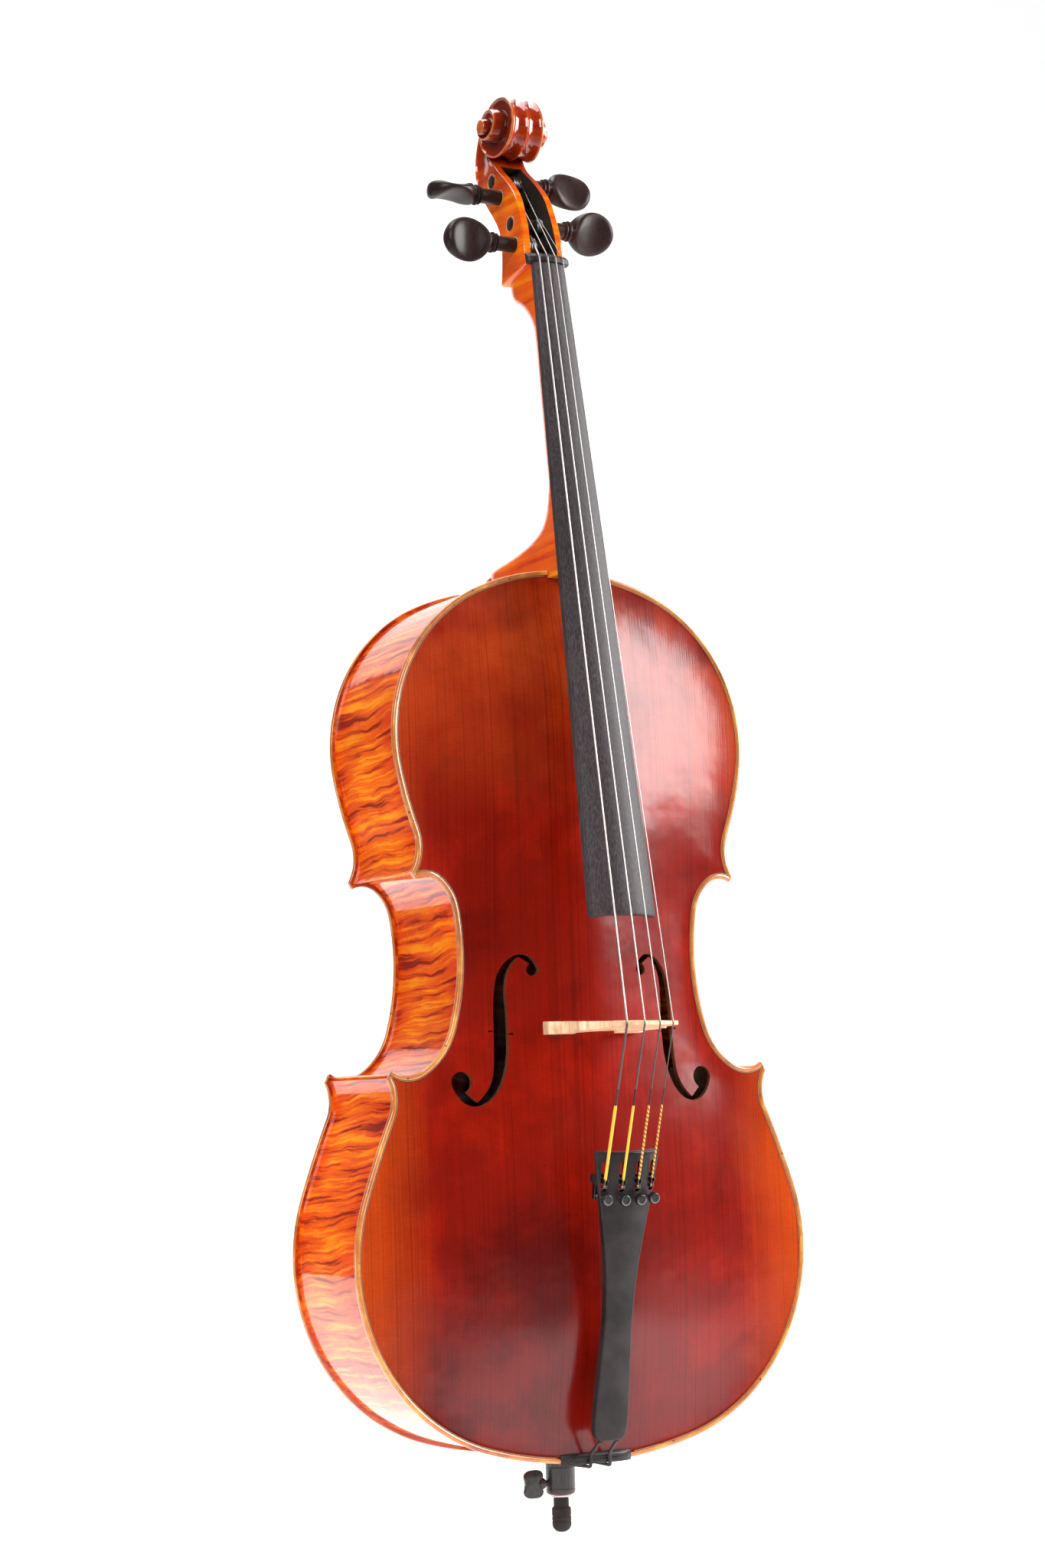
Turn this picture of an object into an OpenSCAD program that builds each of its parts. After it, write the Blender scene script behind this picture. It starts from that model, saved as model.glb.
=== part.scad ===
// Full-size cello, built piece by piece the way a maker builds it.
// Frame: +Z up along the body, the belly faces -Y, +X is the treble side.
// The origin is the bottom of the endpin's rubber tip, on the endpin's axis.

/* [Body] */
// Length of the body from the bottom edge to the top edge
body_len = 755; // [753:0.5:757]
// Height of the ribs between the two plates
rib_h = 113.4; // [108:0.2:118]
// Thickness of a rib
rib_t = 1.6; // [1.2:0.1:2]
// How far the plates' edges stand out past the ribs
overhang = 3.5; // [3.4:0.05:4]
// Thickness of a plate at its edge
edge_t = 4.5; // [4:0.1:5]
// Height of the arch above the ribs, at the crest
arch_h = 25.3; // [20:0.1:28]
// Thickness of a plate in the middle
plate_t = 4.8; // [4:0.1:6]
// Distance from the edge to the purfling
purfling_in = 4; // [3.8:0.1:5]
// Width of the purfling
purfling_w = 1.4; // [1:0.1:1.8]
// Depth of the purfling's groove
purfling_depth = 1.8; // [1:0.1:2.2]

/* [Neck and fingerboard] */
// Height of the nut's lower face above the body's bottom edge
nut_z = 1030; // [1028:1:1032]
// Height of the fingerboard's lower end above the body's bottom edge
board_end_z = 453; // [445:1:470]
// Radius of the playing surface
board_r = 60; // [58:1:66]
// Half width of the fingerboard at the nut
board_nut_half = 15.4; // [14:0.1:16]
// Half width of the fingerboard at its lower end
board_end_half = 31.5; // [30:0.1:32.5]
// Height of the nut above the fingerboard
nut_rise = 1.6; // [1:0.1:2.5]
// Half width of the pegbox at the nut
pegbox_nut_half = 20.5; // [19:0.1:21.5]
// Half width of the pegbox below the scroll
pegbox_top_half = 16.5; // [15:0.1:18]
// Thickness of a pegbox cheek
cheek_t = 6.5; // [5.5:0.1:7.5]

/* [Pegs] */
// Radius of a peg's shank where it enters the pegbox
peg_r = 6.6; // [6:0.1:7]
// Radial clearance of a peg in its holes
peg_gap = 0.05; // [0.02:0.01:0.1]
// Distance from the middle to a peg's collar
peg_collar_x = 45; // [42:0.5:50]
// Length of a peg's head
peg_head_len = 43; // [38:0.5:46]
// Half width of a peg's head across its flat
peg_head_r = 19.5; // [16:0.5:21]

/* [Bridge and strings] */
// Height of the bridge's middle plane above the body's bottom edge
bridge_z = 362; // [355:1:368]
// Distance from the middle plane of the ribs to the top of the bridge
bridge_top_y = 175; // [172:0.5:178]
// Half width across the bridge's feet
bridge_half = 46; // [44:0.5:47]
// Spacing of the strings at the bridge
string_gap_bridge = 14.6; // [14:0.1:15.5]
// Spacing of the strings at the nut
string_gap_nut = 8.1; // [7.6:0.1:8.4]

/* [Tailpiece and tuners] */
// Height of the tailpiece's upper end above the body's bottom edge
tail_top_z = 259; // [255:1:262]
// Height of the tailpiece's lower end above the body's bottom edge
tail_end_z = 21; // [19:1:24]
// Spacing of the fine tuners across the tailpiece
tuner_gap = 15; // [14:0.1:15.6]
// Radius of a fine tuner's knob
knob_r = 5; // [4:0.1:5.4]
// Radius of a fine tuner's screw
screw_r = 1.5; // [1.2:0.1:1.8]

/* [Endpin] */
// Length of the endpin rod
rod_len = 455; // [430:1:480]
// Radius of the endpin rod
rod_r = 5; // [4:0.1:5.5]
// Radial clearance of the rod in its collar
rod_gap = 0.08; // [0.03:0.01:0.1]
// Radius of the collar
collar_r = 12.8; // [12:0.1:13.5]
// Length of the collar below the body
collar_len = 31; // [28:0.5:34]
// Radius of the rubber tip
tip_r = 8.2; // [7.5:0.1:9]
// Length of the rubber tip
tip_len = 28.6; // [26:0.2:28.8]

/* [Hidden] */
$fn = 48;
eps = 0.01;
rib_half = rib_h / 2;
ring_len = 2.5;
tip_gap = 0.4;
// Height of the body's bottom edge above the origin
body_z = tip_len + tip_gap + ring_len + collar_len;

// ---- Outline of the body: chains of tangent arcs, [radius, sweep], left turns positive ----
arc_step = 12;
upper_arcs = [[218, -23.8], [141, -77.7], [340, -8.9], [40.5, 52.1]];
lower_arcs = [[357, 16], [165.5, 92.9], [872, 4.6], [35, -51.4]];
waist_up_arcs = [[225, -9.5], [39, -39.8], [20, -68.2]];
waist_down_arcs = [[208, 17.3], [59.5, 44.3], [24.5, 64.1]];
waist = [116.2, 425];
tip_cut = 0.25;

function arc_point(p, h, r, side, t) =
    let (c = p + side * r * [-sin(h), cos(h)])
    c + side * r * [sin(h + t), -cos(h + t)];

// Points of a chain of arcs after its start; the last arc sweeps only to last_sweep
function chain(p, h, arcs, last_sweep, i = 0) =
    i == len(arcs) ? [] :
    let (r = arcs[i][0], a = arcs[i][1], side = sign(a),
         sweep = i == len(arcs) - 1 ? side * last_sweep : a,
         n = max(2, ceil(abs(a) / arc_step)))
    concat([for (k = [1:n]) arc_point(p, h, r, side, sweep * k / n)],
           chain(arc_point(p, h, r, side, sweep), h + sweep, arcs, last_sweep, i + 1));

// Start point and heading of the last arc of a chain
function last_start(p, h, arcs, i = 0) =
    i == len(arcs) - 1 ? [p, h] :
    let (a = arcs[i][1])
    last_start(arc_point(p, h, arcs[i][0], sign(a), a), h + a, arcs, i + 1);

// The same chain moved inwards by d; inner is 1 when the inside lies to the left, else -1
function inset_arcs(arcs, inner, d) = [for (a = arcs) [a[0] - inner * sign(a[1]) * d, a[1]]];
function inset_start(p, h, inner, d) = p + inner * d * [-sin(h), cos(h)];

function circle_meet(c1, r1, c2, r2, pick) =
    let (v = c2 - c1, dd = norm(v), a = (dd * dd + r1 * r1 - r2 * r2) / (2 * dd),
         hh = r1 * r1 - a * a, u = v / dd)
    hh < 0 ? undef : c1 + a * u + pick * sqrt(hh) * [-u[1], u[0]];

// Sweep from a last arc's start to a point on it, in degrees, without sign
function sweep_to(start, h, r, side, q) =
    let (c = start + side * r * [-sin(h), cos(h)], v = q - c,
         t = atan2(side * v[0], -side * v[1]) - h)
    side * (t - 360 * round(t / 360));

// Two chains, [start, heading, arcs, inner], that meet at a corner, inset by d and trimmed there
function trimmed(ca, cb, pick, d) =
    let (pa = inset_start(ca[0], ca[1], ca[3], d), aa = inset_arcs(ca[2], ca[3], d),
         pb = inset_start(cb[0], cb[1], cb[3], d), ab = inset_arcs(cb[2], cb[3], d),
         la = last_start(pa, ca[1], aa), lb = last_start(pb, cb[1], ab),
         ra = aa[len(aa) - 1][0], rb = ab[len(ab) - 1][0],
         sa = aa[len(aa) - 1][1], sb = ab[len(ab) - 1][1],
         c_a = la[0] + sign(sa) * ra * [-sin(la[1]), cos(la[1])],
         c_b = lb[0] + sign(sb) * rb * [-sin(lb[1]), cos(lb[1])],
         q = circle_meet(c_a, ra, c_b, rb, pick),
         ta = q == undef ? abs(sa) : sweep_to(la[0], la[1], ra, sign(sa), q) - tip_cut / ra * 57.3,
         tb = q == undef ? abs(sb) : sweep_to(lb[0], lb[1], rb, sign(sb), q) - tip_cut / rb * 57.3,
         use_a = ta > 0 ? min(abs(sa), ta) : abs(sa),
         use_b = tb > 0 ? min(abs(sb), tb) : abs(sb))
    [concat([pa], chain(pa, ca[1], aa, use_a)), concat([pb], chain(pb, cb[1], ab, use_b))];

function turned(list) = [for (i = [len(list) - 1:-1:0]) list[i]];
function drop_first(list) = [for (i = [1:len(list) - 1]) list[i]];

function lower_pair(d) =
    trimmed([[0, 0], 0, lower_arcs, 1], [waist, -90, waist_down_arcs, -1], 1, d);
function upper_pair(d) =
    trimmed([[0, body_len], 0, upper_arcs, -1], [waist, 90, waist_up_arcs, 1], -1, d);

// The right half of the outline, inset by d, from the bottom to the top
function half_ring(d) =
    let (lo = lower_pair(d), up = upper_pair(d))
    concat(lo[0], turned(lo[1]), drop_first(up[1]), turned(up[0]));
function mirrored(list) = [for (p = list) [-p[0], p[1]]];
// The whole outline, inset by d, counted from the bottom, up the treble side and round
function ring(d) =
    let (h = half_ring(d), n = len(h))
    concat(h, [for (i = [n - 2:-1:1]) [-h[i][0], h[i][1]]]);

n_lower = len(lower_pair(0)[0]);
n_waist = len(lower_pair(0)[1]) + len(upper_pair(0)[1]) - 1;
n_half = len(half_ring(0));

// ---- Arched plates: rings that run from the edge to the spine of the arch ----
// Height on the spine that a point of the outline looks to
function spine_z(z) =
    lookup(z, [[0, 130], [315, 162], [338, 168], [425, 400], [480, 596], [496, 600],
               [body_len, 640]]);
crest_drop = 0.1;
function crest(z) = arch_h * (1 - crest_drop * pow((z - 385) / 255, 2));
function rise(t) = (1 - cos(180 * pow(t, 0.85))) / 2;
flute_in = 9;
flute_t = edge_t - 0.5;
inner_steps = [0.12, 0.28, 0.46, 0.66, 0.9];

// Ring i of the arch: the flute's ring pulled a fraction t of the way to the spine
function arch_ring(t, under) =
    [for (p = ring(flute_in))
        let (s = spine_z(p[1]), q = p + t * ([0, s] - p),
             top = flute_t + (crest(s) - flute_t) * rise(t))
        [q[0], q[1], under ? max(0, top - plate_t) : top]];
function flat_ring(d, h) = [for (p = ring(d)) [p[0], p[1], h]];

plate_rings = concat(
    [flat_ring(0, 0), flat_ring(0, edge_t), flat_ring(purfling_in, edge_t - 0.2),
     flat_ring(purfling_in, edge_t - 0.2 - purfling_depth),
     flat_ring(purfling_in + purfling_w, edge_t - 0.2 - purfling_depth),
     flat_ring(purfling_in + purfling_w, edge_t - 0.3), flat_ring(flute_in, flute_t)],
    [for (t = inner_steps) arch_ring(t, false)]);
under_rings = turned([for (t = inner_steps) arch_ring(t, true)]);

// The cap that closes the crest between the two halves of a ring
function cap_faces(start, n, flip) =
    [for (i = [0:n / 2 - 1])
        let (a = start + i, b = start + i + 1,
             c = start + (n - i) % n, d = start + n - i - 1)
        each (i == 0 ? [[a, b, d]] : i == n / 2 - 1 ? [[a, b, c]] : [[a, b, c], [b, d, c]])];
function flipped(faces) = [for (f = faces) [f[2], f[1], f[0]]];

module plate() {
    rings = concat(plate_rings, under_rings);
    m = len(rings);
    n = len(rings[0]);
    top = len(plate_rings) - 1;
    points = [for (r = rings) for (p = r) p];
    // the rings climb over the outside, then continue on the underside, back to the edge
    walls = [for (j = [0:m - 1]) if (j != top) for (i = [0:n - 1])
        let (k = (j + 1) % m, a = j * n + i, b = j * n + (i + 1) % n,
             c = k * n + i, e = k * n + (i + 1) % n)
        each [[a, e, b], [a, c, e]]];
    caps = concat(flipped(cap_faces(top * n, n)), cap_faces((top + 1) * n, n));
    polyhedron(points, concat(walls, caps), convexity = 10);
}

// Lays a plate drawn in the X-Y plane against the ribs: side -1 is the belly, 1 the back
module lay(side) {
    translate([0, side * rib_half, body_z])
        mirror([0, side < 0 ? 0 : 1, 0])
            rotate([90, 0, 0])
                children();
}

module slab(points, y0, y1) {
    translate([0, y1, body_z])
        rotate([90, 0, 0])
            linear_extrude(y1 - y0)
                polygon(points);
}

// ---- f-holes: two edges of tangent curves and two round eyes ----
function bezier(p, t) =
    pow(1 - t, 3) * p[0] + 3 * pow(1 - t, 2) * t * p[1] + 3 * (1 - t) * t * t * p[2]
    + pow(t, 3) * p[3];
function curve(segments, n) =
    [for (s = segments) for (k = [0:n - 1]) bezier(s, k / n)];
f_outer = [[[47.7, 412], [56, 435.5], [80, 421.5], [84, 402.5]],
           [[84, 402.5], [88, 383], [86.5, 370], [87.7, 350]],
           [[87.7, 350], [89, 330], [87, 316], [105, 302]]];
f_inner = [[[63.8, 422], [79.4, 409], [74.8, 389], [74.9, 368.5]],
           [[74.9, 368.5], [75, 348.5], [75.2, 329], [84.4, 313.5]],
           [[84.4, 313.5], [97, 292], [120.5, 294], [126.7, 317.6]]];
f_upper_eye = [52.9, 411.2];
f_upper_r = 5.2;
f_lower_eye = [117.5, 318.6];
f_lower_r = 9.2;
f_upper_wing = [[63.8, 422], [55.6, 416.4], [52.9, 411.2]];
f_lower_wing = [[105, 302], [112.9, 309.6], [117.5, 318.6]];
f_steps = 7;

module f_hole() {
    outline = concat(curve(f_outer, f_steps), f_lower_wing, [[126.7, 317.6]],
                     turned(curve(f_inner, f_steps)), [f_upper_wing[1], f_upper_wing[2]]);
    slab(outline, -rib_half - arch_h - 5, -rib_half + 5);
    for (eye = [[f_upper_eye, f_upper_r], [f_lower_eye, f_lower_r]])
        translate([eye[0][0], -rib_half + 5, body_z + eye[0][1]])
            rotate([90, 0, 0])
                cylinder(h = arch_h + 10, r = eye[1]);
}

saddle_half = 34;
saddle_h = 9;
heel_front_half = 19;
heel_back_half = 15;
heel_into_block = 8;
heel_z = body_len - overhang;

module belly() {
    heel_notch = heel_front_half + 1;
    color("firebrick")
        difference() {
            lay(-1) plate();
            f_hole();
            mirror([1, 0, 0]) f_hole();
            translate([-saddle_half, -rib_half - 6, body_z - 1])
                cube([2 * saddle_half, 6 + eps, saddle_h + 1]);
            translate([-heel_notch, -rib_half - 6, body_z + heel_z - heel_into_block])
                cube([2 * heel_notch, 6 + eps, 40]);
        }
}

button_half = 15;
button_len = 17;

// How far the button's root reaches back into the plate's edge
button_root = 3;

module back_plate() {
    color("saddlebrown") {
        lay(1) plate();
        translate([0, rib_half + edge_t, body_z + body_len])
            rotate([90, 0, 0]) {
                translate([0, button_len - button_half, 0])
                    intersection() {
                        cylinder(h = edge_t, r = button_half);
                        translate([-button_half, 0, 0])
                            cube([2 * button_half, button_half, edge_t]);
                    }
                translate([-button_half, -button_root, 0])
                    cube([2 * button_half, button_root + button_len - button_half, edge_t]);
            }
    }
}

module purfling(side) {
    groove_floor = edge_t - 0.2 - purfling_depth;
    color("black")
        lay(side)
            difference() {
                translate([0, 0, groove_floor])
                    linear_extrude(purfling_depth - 0.1)
                        polygon(ring(purfling_in));
                translate([0, 0, groove_floor - 1])
                    linear_extrude(purfling_depth + 2)
                        polygon(ring(purfling_in + purfling_w));
                if (side < 0)
                    for (z = [-1, heel_z - heel_into_block])
                        translate([-saddle_half, z, 0])
                            cube([2 * saddle_half, z < 0 ? saddle_h + 1 : 40, 10]);
            }
}
module purfling_belly() { purfling(-1); }
module purfling_back() { purfling(1); }

// ---- Ribs ----
module rib(from, to, treble) {
    outer = half_ring(overhang);
    inner = half_ring(overhang + rib_t);
    band = concat([for (i = [from:to]) outer[i]], [for (i = [to:-1:from]) inner[i]]);
    color("darkorange")
        difference() {
            slab(treble ? band : mirrored(band), -rib_half, rib_half);
            if (to == n_half - 1)
                heel_shape(0.05);
            if (from == 0)
                translate([0, 0, body_z - 1])
                    cylinder(h = 20, r = plug_r + 0.1);
        }
}
module rib_lower_bass() { rib(0, n_lower - 1, false); }
module rib_lower_treble() { rib(0, n_lower - 1, true); }
module rib_centre_bass() { rib(n_lower, n_lower + n_waist - 1, false); }
module rib_centre_treble() { rib(n_lower, n_lower + n_waist - 1, true); }
module rib_upper_bass() { rib(n_lower + n_waist, n_half - 1, false); }
module rib_upper_treble() { rib(n_lower + n_waist, n_half - 1, true); }

// ---- Blocks and linings ----
block_depth = 42;
block_half = 42;
corner_block_r = 36;
lining_t = 2;
lining_h = 14;
inside = overhang + rib_t;
lower_corner = lower_pair(inside)[0][n_lower - 1];
upper_corner = upper_pair(inside)[0][len(upper_pair(inside)[0]) - 1];

module corner_columns(r, h) {
    for (sx = [-1, 1], c = [lower_corner, upper_corner])
        translate([sx * c[0], h / 2, body_z + c[1]])
            rotate([90, 0, 0])
                cylinder(h = h, r = r);
}

module corner_blocks() {
    color("burlywood")
        intersection() {
            slab(ring(inside), -rib_half, rib_half);
            corner_columns(corner_block_r, rib_h + 2);
        }
}

module lower_block() {
    color("burlywood")
        difference() {
            intersection() {
                slab(ring(inside), -rib_half, rib_half);
                translate([-block_half, -rib_half, body_z])
                    cube([2 * block_half, rib_h, block_depth]);
            }
            translate([0, 0, body_z - 1])
                cylinder(h = block_depth + 2, r = plug_r);
        }
}

module upper_block() {
    color("burlywood")
        difference() {
            intersection() {
                slab(ring(inside), -rib_half, rib_half);
                translate([-block_half, -rib_half, body_z + body_len - block_depth])
                    cube([2 * block_half, rib_h, block_depth]);
            }
            heel_shape(0);
        }
}

module linings() {
    color("wheat")
        difference() {
            for (y = [-rib_half, rib_half - lining_h])
                slab(ring(inside), y, y + lining_h);
            slab(ring(inside + lining_t), -rib_half - 1, rib_half + 1);
            corner_columns(corner_block_r + 0.1, rib_h + 4);
            for (z = [0, body_len - block_depth])
                translate([-block_half - 0.1, -rib_half - 1, body_z + z - 0.1])
                    cube([2 * block_half + 0.2, rib_h + 2, block_depth + 0.2]);
        }
}

// Inner height of the belly under a point of the spine
function under_y(z) = -(rib_half + crest(z) - plate_t);
bar_x = -20;
bar_t = 11;
bar_z0 = 130;
bar_z1 = 640;
bar_h = 22;
bar_steps = 12;

module bass_bar() {
    top = [for (k = [0:bar_steps])
        let (z = bar_z0 + (bar_z1 - bar_z0) * k / bar_steps) [under_y(z) + 1.2, z]];
    low = [for (k = [bar_steps:-1:0])
        let (z = bar_z0 + (bar_z1 - bar_z0) * k / bar_steps)
        [under_y(z) + 3 + bar_h * sin(180 * k / bar_steps), z]];
    color("burlywood")
        translate([bar_x + bar_t / 2, 0, body_z])
            rotate([0, -90, 0])
                rotate([0, 0, 90])
                    linear_extrude(bar_t)
                        polygon([for (p = concat(top, low)) [p[0], -p[1]]]);
}

post_x = 22;
post_z = bridge_z - 16;
post_r = 5.5;

module sound_post() {
    color("wheat")
        translate([post_x, -under_y(post_z) - 1.1, body_z + post_z])
            rotate([90, 0, 0])
                cylinder(h = -2 * under_y(post_z) - 2.2, r = post_r);
}

saddle_front = 5;

module saddle() {
    color([0.08, 0.08, 0.08])
        translate([0, 0, body_z])
            linear_extrude(saddle_h - 0.05)
                polygon([[-saddle_half + 0.05, -rib_half], [saddle_half - 0.05, -rib_half],
                         [saddle_half - 0.05, -rib_half - edge_t],
                         [22, -rib_half - edge_t - saddle_front],
                         [-22, -rib_half - edge_t - saddle_front],
                         [-saddle_half + 0.05, -rib_half - edge_t]]);
}

// ---- Fingerboard, in a frame whose Z runs down the playing surface's crest ----
board_nut_y = -50;
board_end_y = -144.5;
board_dz = nut_z - board_end_z;
board_tilt = atan2(board_nut_y - board_end_y, board_dz);
board_len = norm([board_nut_y - board_end_y, board_dz]);
board_nut_t = 8;
board_end_t = 15.5;

// Origin at the crest's upper end, +Z down towards the body, -Y out of the playing surface
module board_frame() {
    translate([0, board_nut_y, body_z + nut_z])
        rotate([180 - board_tilt, 0, 0])
            mirror([0, 1, 0])
                children();
}

module fingerboard() {
    hollow_from = 300;
    color([0.13, 0.12, 0.13])
        board_frame()
            difference() {
                intersection() {
                    translate([0, board_r, 0])
                        cylinder(h = board_len, r = board_r, $fn = 160);
                    rotate([90, 0, 0])
                        translate([0, 0, -board_r])
                            linear_extrude(2 * board_r)
                                polygon([[-board_nut_half, 0], [board_nut_half, 0],
                                         [board_end_half, board_len],
                                         [-board_end_half, board_len]]);
                    rotate([0, 90, 0])
                        translate([0, 0, -board_r])
                            linear_extrude(2 * board_r)
                                polygon([[0, -1], [0, board_nut_t],
                                         [-board_len, board_end_t], [-board_len, -1]]);
                }
                translate([0, board_end_t + 26, hollow_from])
                    cylinder(h = board_len, r = 32, $fn = 96);
            }
}

nut_t = 9;
nut_front_y = board_nut_y - nut_rise;
// Slope of the nut's rear, behind the strings' resting points
nut_fall = 40;

module nut() {
    color([0.06, 0.06, 0.06])
        board_frame()
            translate([0, 0, -nut_t])
                intersection() {
                    translate([0, board_r - nut_rise, 0])
                        cylinder(h = nut_t - 0.02, r = board_r, $fn = 160);
                    translate([0, -nut_rise, nut_t / 2 - 0.2])
                        rotate([nut_fall, 0, 0])
                            translate([0, board_r, -nut_t])
                                cylinder(h = 4 * nut_t, r = board_r, $fn = 160);
                    translate([-pegbox_nut_half + 0.3, -nut_rise - 1, 0])
                        cube([2 * pegbox_nut_half - 0.6, board_nut_t + nut_rise + 1, nut_t - 0.02]);
                }
}

// ---- Neck, pegbox and scroll, one piece of maple ----
neck_r_nut = 15.2;
neck_r_heel = 18.6;
button_tip = body_len + button_len;

// The heel's footprint seen along the neck, as it sits in the block
module heel_shape(gap) {
    translate([0, 0, body_z + heel_z - heel_into_block - gap])
        linear_extrude(60)
            polygon([[-heel_front_half - gap, -rib_half - 40], [heel_front_half + gap, -rib_half - 40],
                     [heel_back_half + gap, rib_half], [-heel_back_half - gap, rib_half]]);
}

// Top of the heel, where its curve runs out inside the round shaft
heel_top = 822;
heel_curve = [[[-56, heel_top], [-52, 783], [10, 779], [rib_half, button_tip - 1]]];
heel_steps = 10;

module side_slab(points, half) {
    translate([-half, 0, body_z])
        rotate([90, 0, 90])
            linear_extrude(2 * half)
                polygon(points);
}

module heel() {
    under = board_under_y(heel_z - heel_into_block);
    under_top = board_under_y(heel_top);
    foot = heel_z - heel_into_block;
    intersection() {
        side_slab(concat([[under, foot], [under_top, heel_top]], curve(heel_curve, heel_steps),
                         [[rib_half, button_tip - 1], [rib_half, foot]]), 30);
        translate([0, 0, body_z + 700])
            linear_extrude(150)
                polygon([[-heel_front_half, -rib_half - 40], [heel_front_half, -rib_half - 40],
                         [heel_back_half, rib_half], [-heel_back_half, rib_half]]);
    }
}

// Distance of the fingerboard's underside from the ribs' middle plane, at a height
function board_under_y(z) =
    let (k = (nut_z - z) / board_dz)
    board_nut_y + k * (board_end_y - board_nut_y)
    + (board_nut_t + k * (board_end_t - board_nut_t)) / cos(board_tilt);

module neck_shaft() {
    shaft_len = (nut_z - 812) / cos(board_tilt);
    board_frame()
        difference() {
            translate([0, board_nut_t + 1.5, 0])
                cylinder(h = shaft_len, r1 = neck_r_nut, r2 = neck_r_heel, $fn = 96);
            rotate([0, 90, 0])
                translate([0, 0, -50])
                    linear_extrude(100)
                        polygon([[1, -60], [1, board_nut_t], [0, board_nut_t],
                                 [-board_len, board_end_t], [-board_len, -60]]);
        }
}

// The chin, a tongue under the pegbox that eases into the shaft, as [y, z]
chin_half = 15;
chin_side = [[-40, 1024], [2.5, 1024], [2.8, 1010], [1, 1004], [-4, 998], [-14, 991.5], [-25, 982.5],
             [-32, 971], [-36, 958], [-42, 958]];

module chin() {
    side_slab(chin_side, chin_half);
}

// Pegbox seen from the side: the front edge of the cheeks, then the back, as [y, z]
box_front = [[-41.5, 1028], [-39.5, 1045], [-36, 1064], [-29, 1085], [-19, 1101.5], [-5, 1115.5],
             [11, 1128.5], [22, 1140]];
box_back = [[49.5, 1140], [48, 1127], [42, 1114], [30, 1099], [15, 1081], [5, 1066], [2, 1050],
            [2.5, 1024], [1, 1019]];
channel = [[-60, 1037], [-60, 1120], [14, 1131], [35, 1125], [26, 1105], [8, 1088], [-4, 1070],
           [-7, 1056], [-8, 1037]];

// Name, side of the head, and the axis as y and height
pegs = [["c", -1, -21, 1050.5], ["g", -1, 6, 1100.8], ["d", 1, 20, 1119.5], ["a", 1, -14, 1071.5]];

module pegbox() {
    cheek_in = pegbox_nut_half - cheek_t;
    top_in = pegbox_top_half - cheek_t + 1;
    difference() {
        intersection() {
            side_slab(concat(box_front, box_back), 30);
            translate([0, 60, body_z])
                rotate([90, 0, 0])
                    linear_extrude(140)
                        polygon([[-pegbox_nut_half, 1000], [pegbox_nut_half, 1000],
                                 [pegbox_top_half, 1142], [-pegbox_top_half, 1142]]);
        }
        intersection() {
            side_slab(channel, 30);
            translate([0, 60, body_z])
                rotate([90, 0, 0])
                    linear_extrude(140)
                        polygon([[-cheek_in, 1000], [cheek_in, 1000],
                                 [top_in, 1142], [-top_in, 1142]]);
        }
        for (p = pegs)
            translate([-40, p[2], body_z + p[3]])
                rotate([0, 90, 0])
                    cylinder(h = 80, r = peg_r + peg_gap);
    }
}

// The scroll: discs of a falling spiral, wider towards the eyes
scroll_eye = [9, 1164.5];
eye_half = 33.5;
eye_r = 7;
// Each turn: its centre, its radius and its half width
scroll_turns = [[[6, 1165.5], 29.5, 20], [[8, 1165], 20, 26.5], [scroll_eye, 12.5, 30.5]];

module scroll() {
    for (t = scroll_turns)
        translate([-t[2], t[0][0], body_z + t[0][1]])
            rotate([0, 90, 0])
                cylinder(h = 2 * t[2], r = t[1], $fn = 64);
    translate([-eye_half, scroll_eye[0], body_z + scroll_eye[1]])
        rotate([0, 90, 0])
            cylinder(h = 2 * eye_half, r = eye_r);
    side_slab([[22, 1136], [49.5, 1136], [49, 1148], [44, 1162], [35, 1174], [20, 1186], [6, 1165],
               [14, 1142]], 16.4);
}

module neck() {
    color("peru") {
        heel();
        neck_shaft();
        chin();
        pegbox();
        scroll();
    }
}

// ---- Pegs, in a frame whose Z runs from the tail end to the head ----
tail_x = 22;
head_turn = [88, 0, 70, -65];
// Half the head's thickness at distances from the collar: thick at both ends, hollow for the thumb
head_sides = [[9, 0], [9, 5], [5.5, 13], [3.6, 21], [3.6, 25], [5.9, 33], [7, 39], [4, 43]];

module peg(i) {
    p = pegs[i];
    head = peg_collar_x;
    color([0.1, 0.09, 0.09])
        translate([0, p[2], body_z + p[3]])
            rotate([0, p[1] * 90, 0])
                rotate([0, 0, head_turn[i]]) {
                    translate([0, 0, -tail_x])
                        cylinder(h = head + tail_x, r = peg_r);
                    translate([0, 0, head - 5])
                        rotate_extrude()
                            polygon([[0, 0], [peg_r + 1, 0], [peg_r + 1.8, 1], [peg_r + 0.6, 2],
                                     [peg_r + 2.2, 3.2], [peg_r + 0.4, 5], [0, 5]]);
                    translate([0, 0, head - 1])
                        cylinder(h = 8, r = 5);
                    intersection() {
                        translate([-10, 0, head + peg_head_len / 2])
                            rotate([0, 90, 0])
                                cylinder(h = 20, r = peg_head_len / 2, $fn = 48);
                        translate([0, peg_head_r, head])
                            rotate([90, 0, 0])
                                linear_extrude(2 * peg_head_r)
                                    polygon(concat(head_sides, turned(mirrored(head_sides))));
                    }
                }
}
module peg_c() { peg(0); }
module peg_g() { peg(1); }
module peg_d() { peg(2); }
module peg_a() { peg(3); }

// ---- Strings ----
// Name, radius of the string, number of its turns on the peg
strings = [["c", 0.95, 5], ["g", 0.75, 5], ["d", 0.6, 6], ["a", 0.45, 6]];
coil_x = [-6, -6, 6, 9];
coil_turn_gap = 0.15;

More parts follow.
